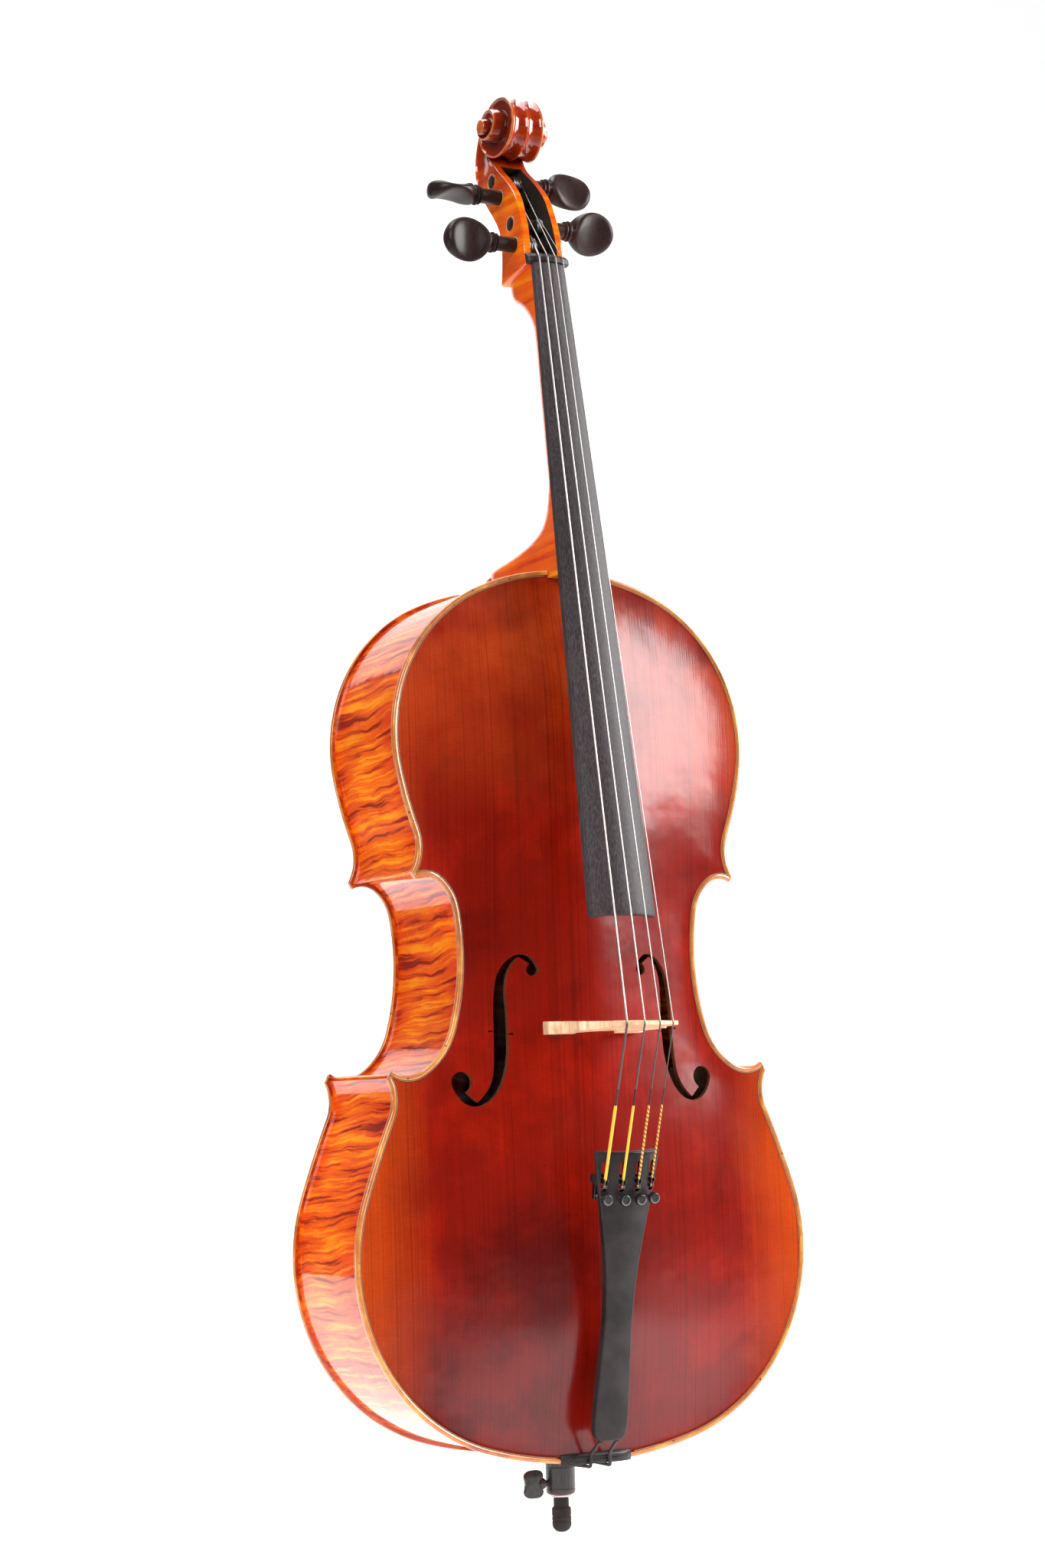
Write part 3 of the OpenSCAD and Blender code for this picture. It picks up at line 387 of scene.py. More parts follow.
def ring(d):
    """The whole outline moved in by d, from the bottom, up the treble side and round."""
    h = [p for part in half_ring(d) for p in part]
    return np.array(h + [(-x, y) for x, y in h[-2:0:-1]])


# ---------------------------------------------------------------- arching of the plates
# The flute's distance in from the outline and its height; the arch's height; the wood's thickness
FLUTE_IN, FLUTE_T = 9.0, 3.7
CREST, PLATE_T = 25.3, 4.8
# Where the arch is highest, how fast it falls towards both ends
CREST_Z, CREST_FALL, CREST_REACH = 385, 0.1, 255
ARCH_POWER = 0.9
BATCH = 4000
# The arch's spine: heights on the flute, and the heights on the spine that answer them
SPINE = ([0, 315, 338, 425, 480, 496, BODY_LEN], [130, 162, 168, 400, 596, 600, 640])
SPINE_LOW, SPINE_HIGH = 130.0, 640.0


def crest(z):
    """Height of the arch along the plate's middle line."""
    return CREST * (1 - CREST_FALL * ((z - CREST_Z) / CREST_REACH) ** 2)


EDGE_RING = ring(FLUTE_IN)


def arch(points):
    """Height of the plate's outer face above the ribs at (x, z) points inside the flute."""
    p = np.array(points, float)
    a, b = EDGE_RING, np.roll(EDGE_RING, -1, axis=0)
    seg = b - a
    length = np.linalg.norm(seg, axis=1)
    u = seg / length[:, None]
    out = np.empty(len(p))
    for i in range(0, len(p), BATCH):
        q = p[i:i + BATCH]
        rel = q[:, None, :] - a[None]
        s1 = -(rel * u[None]).sum(2)
        h2 = np.maximum((rel ** 2).sum(2) - s1 ** 2, 1e-4)
        s2 = s1 + length[None]
        pull = (s2 / np.sqrt(s2 ** 2 + h2) - s1 / np.sqrt(s1 ** 2 + h2)) / h2
        near = np.sqrt(2 / pull.sum(1))
        zc = np.clip(q[:, 1], SPINE_LOW, SPINE_HIGH)
        spine = np.hypot(q[:, 0], q[:, 1] - zc)
        t = near / (near + spine)
        rise = (1 - np.cos(np.pi * t ** ARCH_POWER)) / 2
        out[i:i + BATCH] = FLUTE_T + (crest(q[:, 1]) - FLUTE_T) * rise
    return out


# The edge's profile: distance in from the outline, height above the ribs
LIP = [(0.9, 0.0), (0.3, 0.35), (0.0, 1.0), (0.0, 2.7), (0.2, 3.5), (0.7, 4.15), (1.5, 4.5),
       (2.4, 4.5), (3.2, 4.25), (3.7, 4.0), (4.0, 3.9)]
GROOVE = [(4.0, 2.5), (5.4, 2.5)]
CHANNEL = [(5.4, 3.78), (6.4, 3.7), (7.6, 3.68), (FLUTE_IN, FLUTE_T)]
INLAY = [(4.0, 2.6), (4.0, 3.95), (4.42, 3.95), (4.98, 3.9), (5.4, 3.84), (5.4, 2.6)]
# Steps from the flute to the spine, on the outer face and on the inner one
STEPS = [0.02, 0.045, 0.075, 0.11, 0.15, 0.19, 0.235, 0.28, 0.325, 0.37, 0.42, 0.47, 0.52,
         0.57, 0.62, 0.67, 0.72, 0.77, 0.82, 0.87, 0.92, 0.96, 1.0]
UNDER_STEPS = [0.0, 0.15, 0.28, 0.42, 0.57, 0.72, 0.87, 1.0]


def plate(name, side, mats):
    """A closed arched plate; side -1 is the belly, 1 the back."""
    rows = []
    for d, h in LIP + GROOVE + CHANNEL:
        r = ring(d)
        rows.append(np.column_stack([r, np.full(len(r), h)]))
    inner = ring(FLUTE_IN)
    target = np.column_stack([np.zeros(len(inner)), np.interp(inner[:, 1], *SPINE)])
    for t in STEPS:
        q = inner + t * (target - inner)
        rows.append(np.column_stack([q, arch(q)]))
    for t in UNDER_STEPS[::-1]:
        q = inner + t * (target - inner)
        rows.append(np.column_stack([q, np.maximum(arch(q) - PLATE_T, 0)]))
    n = len(inner)
    lip_rows = len(LIP) - 1
    top_rows = len(LIP + GROOVE + CHANNEL) + len(STEPS)
    verts, faces, mat = [], [], []
    for r in rows:
        verts += [(x, side * (RIB_HALF + h), z) for x, z, h in r]
    for j in range(len(rows)):
        if j == top_rows - 1:
            continue
        k = (j + 1) % len(rows)
        for i in range(n):
            i2 = (i + 1) % n
            faces.append((j * n + i, j * n + i2, k * n + i2, k * n + i))
            mat.append(1 if j < lip_rows else 0)
    obj = mesh_piece(name, verts, faces, mats, mat)
    return settle(obj, merge=0.02, sharp=40)


def inlay(name, side, mats, skip=None):
    """The purfling: a dark, pale, dark strip let into the plate's groove."""
    rows = [np.column_stack([ring(d), np.full(len(EDGE_RING), h)]) for d, h in INLAY]
    n = len(EDGE_RING)
    verts = [(x, side * (RIB_HALF + h), z) for r in rows for x, z, h in r]
    faces, mat = [], []
    for j in range(len(rows)):
        k = (j + 1) % len(rows)
        for i in range(n):
            i2 = (i + 1) % n
            if skip and (skip(*rows[0][i][:2]) or skip(*rows[0][i2][:2])):
                continue
            faces.append((j * n + i, j * n + i2, k * n + i2, k * n + i))
            mat.append(1 if j == 2 else 0)
    obj = mesh_piece(name, verts, faces, mats, mat)
    bm = bmesh.new()
    bm.from_mesh(obj.data)
    bmesh.ops.delete(bm, geom=[v for v in bm.verts if not v.link_faces], context="VERTS")
    bmesh.ops.holes_fill(bm, edges=[e for e in bm.edges if e.is_boundary], sides=len(INLAY))
    bm.to_mesh(obj.data)
    bm.free()
    return settle(obj, merge=0.0, sharp=30)


# ---------------------------------------------------------------- finishes
def varnish_layers(f, coords, red, orange, gold):
    """Broken, translucent varnish: patches of red over orange over gold."""
    patch = f.blend(f.noise(coords, 5.5, 3, 0.5, 0.6), f.noise(coords, 19, 5, 0.62, 0.3), 0.62)
    between = tuple(0.5 * (a + b) for a, b in zip(red, orange))
    return f.ramp(patch, [(0.36, red), (0.5, between), (0.62, orange), (0.76, gold)])


def specks(f, color, at, scale, stops, where, amount=1.0):
    """Dark dots in the varnish, one to a cell, kept only where the mask allows them."""
    spot = f.ramp(f.cells(at, scale), stops, False)
    return f.darken(f.math("MULTIPLY", where, amount), color, spot)


def spruce_finish():
    f = Finish("belly_spruce_varnished", IOR=1.5, Specular_IOR_Level=0.05, Coat_Weight=0.75,
               Coat_Roughness=0.16, Coat_IOR=1.45)
    at = f.place()
    color = varnish_layers(f, at, (0.105, 0.002, 0.0004), (0.27, 0.007, 0.0005),
                           (0.44, 0.022, 0.001))
    x, z = f.axis(at, 0), f.axis(at, 2)
    # the flanks of the bouts are worn to amber, the middle stays deep red
    side = f.math("ABSOLUTE", x)
    worn = f.math("ADD", f.remap(side, 0.11, 0.215),
                  f.math("MULTIPLY", f.noise(at, 7, 4, 0.6, 0.4), 0.55))
    flank = f.remap(worn, 0.62, 1.25)
    color = f.mix(flank, color, (0.46, 0.052, 0.003))
    upper = f.remap(z, 0.60, 0.78)
    color = f.mix(f.math("MULTIPLY", upper, f.remap(f.noise(at, 9, 4), 0.38, 0.66)), color,
                  (0.46, 0.052, 0.006))
    # annual rings run up the belly, wider apart away from the joint
    rings = f.noise(f.place((900, 20, 1.1)), 1.0, 2, 0.45, 0.1)
    fine = f.noise(f.place((1900, 60, 6)), 1.0, 2, 0.6)
    line = f.ramp(rings, [(0.34, 0.62), (0.46, 0.92), (0.56, 1.0), (0.70, 0.88)])
    color = f.mix(0.7, color, line, "MULTIPLY")
    color = f.mix(0.35, color, f.ramp(fine, [(0.3, 0.6), (0.6, 1.1)]), "MULTIPLY")
    # the belly is darker towards the bottom: painted shade where less light falls on the lower body
    color = f.darken(f.remap(z, 0.34, 0.12, 0.0, 0.75), color, (0.62, 0.5, 0.5))
    # medullary flecks cross the grain
    fleck = f.noise(f.place((160, 160, 900)), 1.0, 2, 0.6)
    color = f.mix(0.16, color, f.ramp(fleck, [(0.35, 0.55), (0.62, 1.15)]), "MULTIPLY")
    # specks and small dents in the varnish
    color = specks(f, color, at, 60, [(0.0, 0.25), (0.035, 0.3), (0.055, 1.0)],
                   f.remap(f.noise(at, 23, 2), 0.56, 0.6), 0.75)
    f.set(Base_Color=color, Roughness=f.remap(f.noise(at, 34, 5, 0.65), 0.25, 0.8, 0.26, 0.46))
    ridge = f.math("ADD", f.math("MULTIPLY", rings, 0.8), f.math("MULTIPLY", fleck, 0.25))
    soft = f.bump(f.noise(at, 30, 2, 0.5), 0.12, 0.004)
    f.set(Normal=f.bump(ridge, 0.2, 0.0006, soft), Coat_Normal=f.bump(ridge, 0.10, 0.0005, soft))
    return f.mat


def flame(f, vec, scale):
    """Curly maple: broken, wavy bands of light and dark across the grain."""
    bend = f.noise(vec, scale * 0.22, 3, 0.55, out=1)
    moved = f.node("VectorMath", props={"operation": "MULTIPLY_ADD"},
                   ins={0: bend, 1: (0.02, 0.02, 0.02), 2: vec})

    def bands(across, along, detail, rough, warp):
        size = (scale * across, scale * along, scale * along)
        return f.noise(f.node("Mapping", ins={"Vector": moved, "Scale": size}), 1.0, detail,
                       rough, warp)
    return f.blend(bands(2.6, 0.13, 2, 0.5, 0.3), bands(6.5, 0.32, 3, 0.6, 0.4), 0.55)


def maple_finish(name, deep, warm, bright, scale, rot, bands=(0.37, 0.48, 0.60), uv=None,
                 carved=False):
    """Varnished curly maple; uv names a strip's map, carved reads the scroll's painted shade and
    highlights.
    """
    f = Finish(name, IOR=1.5, Specular_IOR_Level=0.06, Coat_Weight=1.0, Coat_Roughness=0.05,
               Coat_IOR=1.5)
    at = f.place()
    curl = flame(f, f.place(rot=rot, uv=uv), scale)
    color = f.ramp(curl, [(bands[0], deep), (bands[1], warm), (bands[2], bright)])
    blotch = f.noise(at, 9, 4, 0.6, 0.5)
    color = f.mix(f.remap(blotch, 0.42, 0.72), color,
                  f.mix(0.8, color, (0.72, 0.42, 0.3), "MULTIPLY"))
    if uv:
        # bent strips are redder and darker towards their long edges: painted shade under the
        # plates' overhang
        edge = f.remap(f.math("ABSOLUTE", f.axis(f.place(uv=uv), 1)), 0.022, 0.056, 0.0, 0.85)
        color = f.darken(edge, color, (0.86, 0.42, 0.5))
    # pores and fine fibres
    fibre = f.noise(f.place((260, 1900, 1900) if uv is None else (1900, 1900, 260)), 1.0, 3, 0.65)
    color = f.mix(0.3, color, f.ramp(fibre, [(0.3, 0.62), (0.6, 1.08)]), "MULTIPLY")
    color = specks(f, color, at, 95, [(0.0, 0.3), (0.03, 0.4), (0.06, 1.0)],
                   f.remap(f.noise(at, 31, 2), 0.58, 0.64), 0.6)
    if carved:
        # the scroll is redder than the pegbox; its cuts get painted shade and its rims a painted
        # highlight
        # cut carries painted shade above zero and a painted highlight below zero
        cut = f.node("Attribute", 2, {"attribute_name": "carve"})
        color = f.darken(f.remap(f.axis(at, 2), 1.135, 1.205, 0.05, 1.0), color,
                         (0.38, 0.15, 0.24))
        color = f.mix(f.remap(cut, 0.0, 1.0, 0.0, 0.94), color, (0.045, 0.007, 0.003))
        color = f.mix(f.remap(cut, 0.0, -1.0, 0.0, 0.7), color, (0.70, 0.24, 0.06))
    wavy = f.bump(f.noise(at, 26, 2, 0.5), 0.10, 0.004)
    f.set(Base_Color=color, Roughness=f.remap(f.noise(at, 40, 4), 0.3, 0.7, 0.24, 0.4),
          Normal=f.bump(curl, 0.12, 0.0009, wavy),
          Coat_Normal=f.bump(f.noise(at, 60, 3), 0.06, 0.001, wavy))
    return f.mat


def lip_finish():
    """The plates' overhanging edge, where the varnish is worn and nicked."""
    f = Finish("edge_worn_amber", Roughness=0.32, Coat_Weight=0.8, Coat_Roughness=0.12,
               Coat_IOR=1.5)
    at = f.place()
    wear = f.noise(at, 28, 5, 0.65, 0.4)
    color = f.ramp(wear, [(0.3, (0.24, 0.055, 0.011)), (0.48, (0.43, 0.13, 0.02)),
                          (0.66, (0.62, 0.25, 0.045))])
    color = specks(f, color, at, 120, [(0.0, 0.1), (0.09, 0.16), (0.14, 1.0)],
                   f.remap(f.noise(at, 55, 2), 0.5, 0.56))
    f.set(Base_Color=color, Normal=f.bump(f.noise(at, 190, 4), 0.18, 0.0006))
    return f.mat


def raw_wood(name, dark, light, grain=(40, 500, 500), gloss=0.55):
    """Unvarnished wood; grain is the noise's scale along each axis."""
    f = Finish(name, Roughness=gloss)
    g = f.noise(f.place(grain), 1.0, 4, 0.6, 0.3)
    tone = f.blend(g, f.noise(f.place(), 30, 3), 0.75)
    f.set(Base_Color=f.ramp(tone, [(0.32, dark), (0.62, light)]), Normal=f.bump(g, 0.2, 0.0005))
    return f.mat


def black_wood(name, tint, light, rough, grain, coat=0.0):
    """Ebony or stained hardwood: near black, with fine pores along the grain."""
    f = Finish(name, IOR=1.5, Specular_IOR_Level=0.18, Coat_Weight=coat, Coat_Roughness=0.2)
    g = f.noise(f.place(grain), 1.0, 4, 0.7)
    tone = f.blend(g, f.noise(f.place((6, 6, 3)), 1.0, 3), 0.7)
    f.set(Base_Color=f.ramp(tone, [(0.38, tint), (0.64, light)]),
          Roughness=f.remap(g, 0.3, 0.7, rough - 0.07, rough + 0.12),
          Normal=f.bump(g, 0.22, 0.0004))
    return f.mat


def moulded(name, color, rough=0.45, grain=700.0, depth=0.12):
    """Dense black plastic or rubber with a fine moulded grain."""
    f = Finish(name, IOR=1.48, Specular_IOR_Level=0.2)
    fine = f.noise(f.place(), grain, 3, 0.6)
    big = f.noise(f.place(), 40, 3)
    lift = tuple(min(1.0, c * 1.9 + 0.006) for c in color)
    f.set(Base_Color=f.mix(f.remap(big, 0.35, 0.7), color, lift),
          Roughness=f.remap(fine, 0.3, 0.7, rough - 0.08, rough + 0.1),
          Normal=f.bump(fine, depth, 0.0003))
    return f.mat


def metal(name, color, rough=0.25, brushed=(300, 300, 300), depth=0.08):
    """Bare metal; brushed is the fine noise's scale along each axis."""
    f = Finish(name, Metallic=1.0)
    fine = f.noise(f.place(brushed), 1.0, 3, 0.6)
    cloud = f.noise(f.place(), 60, 3)
    f.set(Base_Color=f.mix(f.remap(cloud, 0.3, 0.7), tuple(0.8 * c for c in color), color),
          Roughness=f.remap(fine, 0.25, 0.75, rough - 0.06, rough + 0.12),
          Normal=f.bump(fine, depth, 0.0002))
    return f.mat


# ---------------------------------------------------------------- camera, floor and lights
def look(eye, forward, up, lens):
    """The camera, with its picture's up direction and its lens in mm."""
    f, u = Vector(forward).normalized(), Vector(up)
    r = f.cross(u).normalized()
    u = r.cross(f).normalized()
    cam = bpy.data.cameras.new("camera")
    cam.sensor_fit = "VERTICAL"
    cam.sensor_height = 36.0
    cam.lens = lens
    cam.clip_end = 60
    obj = link(bpy.data.objects.new("camera", cam))
    m = Matrix((r, u, -f)).transposed().to_4x4()
    m.translation = Vector(eye)
    obj.matrix_world = m
    bpy.context.scene.camera = obj


look((-1.317, -2.307, 0.3586), (0.4885, 0.8662, 0.1052), (-0.0245, -0.1069, 0.994), 70.33)


def softbox(name, at, aim, size, power):
    lamp = bpy.data.lights.new(name, "AREA")
    lamp.shape = "RECTANGLE"
    lamp.size, lamp.size_y = size
    lamp.energy = power
    obj = link(bpy.data.objects.new(name, lamp))
    obj.location = at
    obj.rotation_euler = (Vector(aim) - Vector(at)).to_track_quat("-Z", "Y").to_euler()


def studio():
    bpy.context.scene.view_settings.view_transform = "Standard"
    world = bpy.data.worlds.new("studio")
    world.use_nodes = True
    world.node_tree.nodes["Background"].inputs[0].default_value = (1, 1, 1, 1)
    world.node_tree.nodes["Background"].inputs[1].default_value = 0.07
    bpy.context.scene.world = world
    pale = Finish("floor_pale", Base_Color=(0.9, 0.9, 0.9), Roughness=0.8,
                  Emission_Color=(1.0, 1.0, 1.0))
    soft = pale.noise(pale.place(), 1.2, 2)
    paper = pale.mix(soft, (0.88, 0.88, 0.88), (0.92, 0.92, 0.92))
    behind = pale.remap(pale.axis(pale.place(), 1), -1.0, -0.45)
    pale.set(Base_Color=pale.mix(behind, (0.3, 0.3, 0.3), paper))
    pale.set(Emission_Strength=pale.math("MULTIPLY", behind, 0.68))
    # the paper hangs behind the object and curves out under it
    left, right, front = -1.2, 9.0, -2.0
    rows = [(front, 0.0), (3.0, 0.0)]
    rows += [(3.0 + 2 * math.sin(w), 2 * (1 - math.cos(w))) for w in np.linspace(0.1, 1.57, 14)]
    rows += [(5.0, 7.0)]
    verts = [(x / MM, y / MM, z / MM) for y, z in rows for x in (left, right)]
    floor = mesh_piece("floor", verts, grid_faces(len(rows), 2, closed_cols=False), [pale.mat],
                       raise_z=False)
    middle = (0, 0, 0.65)
    softbox("key_left", (-2.4, -2.6, 2.2), middle, (1.4, 1.8), 112)
    softbox("right_window", (1.85, -1.0, 1.45), (0.12, -0.08, 0.72), (1.5, 1.5), 112)
    softbox("top", (-0.3, 0.4, 3.2), middle, (2.4, 1.6), 90)
    softbox("low_left", (-2.4, 0.9, 0.12), (0, 0, 0.3), (1.4, 0.3), 12)


studio()


# ---------------------------------------------------------------- the body
SPRUCE = spruce_finish()
LIP_MAT = lip_finish()
CUT_WOOD = raw_wood("cut_spruce", (0.055, 0.016, 0.007), (0.16, 0.05, 0.018))
RED, AMBER, GOLD = (0.27, 0.013, 0.001), (0.82, 0.105, 0.001), (1.0, 0.33, 0.002)
BACK = maple_finish("back_maple_varnished", RED, (0.42, 0.045, 0.003), (0.70, 0.13, 0.006),
                    rot=(0, math.radians(90 - 12), 0), scale=22)
INK = moulded("purfling_black", (0.012, 0.009, 0.008), 0.4)
PALE_STRIP = raw_wood("purfling_pale", (0.30, 0.10, 0.03), (0.42, 0.16, 0.05),
                      (300, 300, 300), 0.35)

# The treble f-hole in the plate's plane: curves of its two edges, eyes (centre, radius), nicks
F_OUTER = [[(47.7, 412), (56, 435.5), (80, 421.5), (84, 402.5)],
           [(84, 402.5), (88, 383), (86.5, 370), (87.7, 350)],
           [(87.7, 350), (89, 330), (87, 316), (105, 302)]]
F_INNER = [[(63.8, 422), (79.4, 409), (74.8, 389), (74.9, 368.5)],
           [(74.9, 368.5), (75, 348.5), (75.2, 329), (84.4, 313.5)],
           [(84.4, 313.5), (97, 292), (120.5, 294), (126.7, 317.6)]]
F_EYES = [((52.9, 411.2), 5.2), ((117.5, 318.6), 9.2)]
F_NICKS = [(87.9, 360.6, -1), (74.5, 357.9, 1)]
NICK_OUT, NICK_IN, NICK_HALF = 4.0, 1.8, 1.1


def curve_points(segments, n):
    return [tuple(bezier(s, k / n)) for s in segments for k in range(n)]


def prism(name, points, y0, y1, mat):
    """A closed prism from an outline in x and z, from y0 to y1."""
    verts = [(x, y, z) for y in (y0, y1) for x, z in points]
    return settle(mesh_piece(name, verts, prism_faces(len(points)), [mat]), sharp=40)


def f_cutters(side):
    out = []
    outline = (curve_points(F_OUTER, 18)
               + [(105, 302), (112.9, 309.6), (117.5, 318.6), (126.7, 317.6)]
               + curve_points(F_INNER, 18)[::-1] + [(55.6, 416.4), (52.9, 411.2)])
    y0, y1 = -RIB_HALF - CREST - 6, -RIB_HALF + 6
    out.append(prism("cut_stem", [(side * x, z) for x, z in outline], y0, y1, CUT_WOOD))
    for (cx, cz), r in F_EYES:
        disc = [(side * (cx + r * math.cos(w)), cz + r * math.sin(w))
                for w in np.linspace(0, 2 * math.pi, 40, endpoint=False)]
        out.append(prism("cut_eye", disc, y0, y1, CUT_WOOD))
    for nx, nz, way in F_NICKS:
        tip = [(nx - way * NICK_OUT, nz - NICK_HALF), (nx + way * NICK_IN, nz),
               (nx - way * NICK_OUT, nz + NICK_HALF)]
        out.append(prism("cut_nick", [(side * x, z) for x, z in tip], y0, y1, CUT_WOOD))
    return out


# Half widths of the saddle and of the heel at the belly and at the back
SADDLE_HALF, SADDLE_H = 34.0, 9.0
HEEL_FRONT, HEEL_BACK = 19.0, 15.0
HEEL_NOTCH_Z, NOTCH_EASE = 747.3, 0.15


def edge_notch(half, z0, z1):
    """Cuts the belly's edge away, to a half width and between two heights."""
    return prism("cut_box", [(-half, z0), (half, z0), (half, z1), (-half, z1)], -RIB_HALF - 9,
                 -RIB_HALF + 1, CUT_WOOD)


belly = plate("belly_plate", -1, [SPRUCE, LIP_MAT])
cutters = f_cutters(1) + f_cutters(-1)
cutters.append(edge_notch(SADDLE_HALF, -4, SADDLE_H))
cutters.append(edge_notch(HEEL_FRONT + NOTCH_EASE, HEEL_NOTCH_Z, 790))
settle(cut_away(belly, cutters), sharp=40)
piece(belly, "root", "belly_spruce", "belly")

back = plate("back_plate_arched", 1, [BACK, LIP_MAT])
piece(back, "root", "back_maple", "back_plate")


def near_fittings(x, z):
    """Where the saddle and the heel interrupt the purfling."""
    return (abs(x) < SADDLE_HALF + 1 and z < 30) or (abs(x) < HEEL_FRONT + 2 and z > 700)


piece(inlay("belly_purfling", -1, [INK, PALE_STRIP], near_fittings), "root", "purfling",
      "purfling_belly")
piece(inlay("back_purfling", 1, [INK, PALE_STRIP]), "root", "purfling", "purfling_back")


# ---------------------------------------------------------------- ribs
# The plates' overhang, the ribs' thickness, their gap to the plates, and the extra rows of
# points along their edges
OVERHANG, RIB_T = 3.5, 1.6
RIB_GAP, RIB_EASE = 0.05, 3
# The half gap between the lower ribs, behind the endpin's collar
COLLAR_GAP = 10.8
RIB_WOOD = maple_finish("rib_maple_varnished", RED, AMBER, GOLD, uv="flow", scale=52,
                        rot=(0, 0, math.radians(-5)), bands=(0.38, 0.485, 0.61))


def add_flow(obj, lengths):
    """A UV map in metres: the run along the bent strip, and the height across it."""
    uv = obj.data.uv_layers.new(name="flow")
    for loop in obj.data.loops:
        co = obj.data.vertices[loop.vertex_index].co
        uv.data[loop.index].uv = (lengths[loop.vertex_index] * MM, co.y)
    return obj


def rib(name, outer, inner, side):
    """One bent rib between its outer and inner lines; side is 1 for the treble."""
    run = np.concatenate([[0], np.cumsum(np.linalg.norm(np.diff(outer, axis=0), axis=1))])
    half = RIB_HALF - RIB_GAP
    cross = [(0, -half), (0, RIB_EASE - half), (0, -half / 2), (0, 0), (0, half / 2),
             (0, half - RIB_EASE), (0, half), (1, half), (1, 0), (1, -half)]
    rings, lengths = [], []
    for i, (o, q) in enumerate(zip(outer, inner)):
        rings.append([(side * (o[0] + k * (q[0] - o[0])), y, o[1] + k * (q[1] - o[1]))
                      for k, y in cross])
        lengths += [run[i]] * len(cross)
    obj = loft(name, rings, [RIB_WOOD], sharp=50)
    return add_flow(obj, lengths)


outer_parts, inner_parts = half_ring(OVERHANG), half_ring(OVERHANG + RIB_T)
for part, label in enumerate(("lower", "centre", "upper")):
    for side, hand in ((-1, "bass"), (1, "treble")):
        o, q = np.array(outer_parts[part]), np.array(inner_parts[part])
        keep = np.ones(len(o), bool)
        if label == "lower":
            keep = o[:, 0] > COLLAR_GAP
        if label == "upper":
            keep = o[:, 0] > HEEL_FRONT + 0.2
        obj = rib("rib_%s_%s_bent" % (label, hand), o[keep], q[keep], side)
        piece(obj, "root", "rib_maple", "rib_%s_%s" % (label, hand))


# ---------------------------------------------------------------- fingerboard and nut
# The board's crest at the nut and at its lower end, its arch, thickness and half width
BOARD_NUT_Y, BOARD_END_Y = -50.0, -144.5
NUT_Z, BOARD_END_Z = 1030.0, 453.0
BOARD_R, BOARD_NUT_T, BOARD_END_T = 60.0, 8.0, 15.5
BOARD_NUT_HALF, BOARD_END_HALF = 15.4, 31.5
BOARD_EDGE, HOLLOW_FROM, HOLLOW_RUN = 0.9, 300, 24.0
BOARD_LEN = math.hypot(BOARD_NUT_Y - BOARD_END_Y, NUT_Z - BOARD_END_Z)
TILT = math.atan2(BOARD_NUT_Y - BOARD_END_Y, NUT_Z - BOARD_END_Z)


def on_board(x, depth, down):
    """A point of the board: across, into it from the crest line, and down from the nut."""
    return (x, BOARD_NUT_Y + depth * math.cos(TILT) - down * math.sin(TILT),
            NUT_Z - depth * math.sin(TILT) - down * math.cos(TILT))


def sag(x):
    """How far the arched board lies below its crest line at x."""
    return BOARD_R - math.sqrt(BOARD_R ** 2 - x * x)


def board_section(down, grow=0.0):
    """The board's section at a distance down from the nut, drawn in by grow."""
    k = down / BOARD_LEN
    half = BOARD_NUT_HALF + k * (BOARD_END_HALF - BOARD_NUT_HALF) - grow
    deep = BOARD_NUT_T + k * (BOARD_END_T - BOARD_NUT_T) - grow
    pts = [(half - BOARD_EDGE * (1 - math.cos(w)),
            sag(half) + grow + BOARD_EDGE * (1 - math.sin(w)) + 0.25)
           for w in np.linspace(0, math.pi / 2, 5)]
    pts += [(x, sag(x) + grow) for x in np.linspace(half - 1.6, -half + 1.6, 25)]
    pts += [(-x, d) for x, d in pts[:5][::-1]]
    hollow = max(0.0, min(1.0, (down - HOLLOW_FROM) / HOLLOW_RUN))
    under = [(-half, deep - 0.7), (-half + 0.7, deep)]
    for x in np.linspace(-half + 2.2, half - 2.2, 23):
        arch_up = hollow * max(0.0, (6.0 + 3 * k) * (1 - (x / (half - 2.2)) ** 2) ** 0.6)
        under.append((x, deep - arch_up))
    under += [(half - 0.7, deep), (half, deep - 0.7)]
    return [on_board(x, d, down) for x, d in pts + under]


EBONY = black_wood("fingerboard_ebony", (0.020, 0.015, 0.016), (0.075, 0.060, 0.064), 0.42,
                   (1500, 1500, 26))
stations = [0, 0.5, 1.2] + list(np.linspace(6, 299, 24)) + list(np.linspace(300, 330, 10)) \
    + list(np.linspace(340, BOARD_LEN - 2, 24)) + [BOARD_LEN - 0.6, BOARD_LEN]
ease_in = {0: 0.5, 0.5: 0.15, BOARD_LEN - 0.6: 0.18, BOARD_LEN: 0.7}
rings = [board_section(s, ease_in.get(s, 0.0)) for s in stations]
board = loft("fingerboard_ebony", rings, [EBONY], sharp=30)
piece(board, "root", "ebony", "fingerboard")

# The nut's thickness along the strings, and its height above the board
NUT_T, NUT_RISE = 9.0, 1.6
NUT_HALF, NUT_ROUND_FROM, GROOVE_EASE, GROOVE_DEPTH = 20.2, 19.4, 0.25, 0.35
PEGBOX_NUT_HALF = 20.5
# Each string's letter and radius
STRINGS = [("c", 0.95), ("g", 0.75), ("d", 0.6), ("a", 0.45)]
GAP_NUT, GAP_BRIDGE = 8.1, 14.6
NUT_BLACK = black_wood("nut_ebony", (0.012, 0.010, 0.011), (0.04, 0.034, 0.036), 0.3,
                       (60, 1200, 1200))


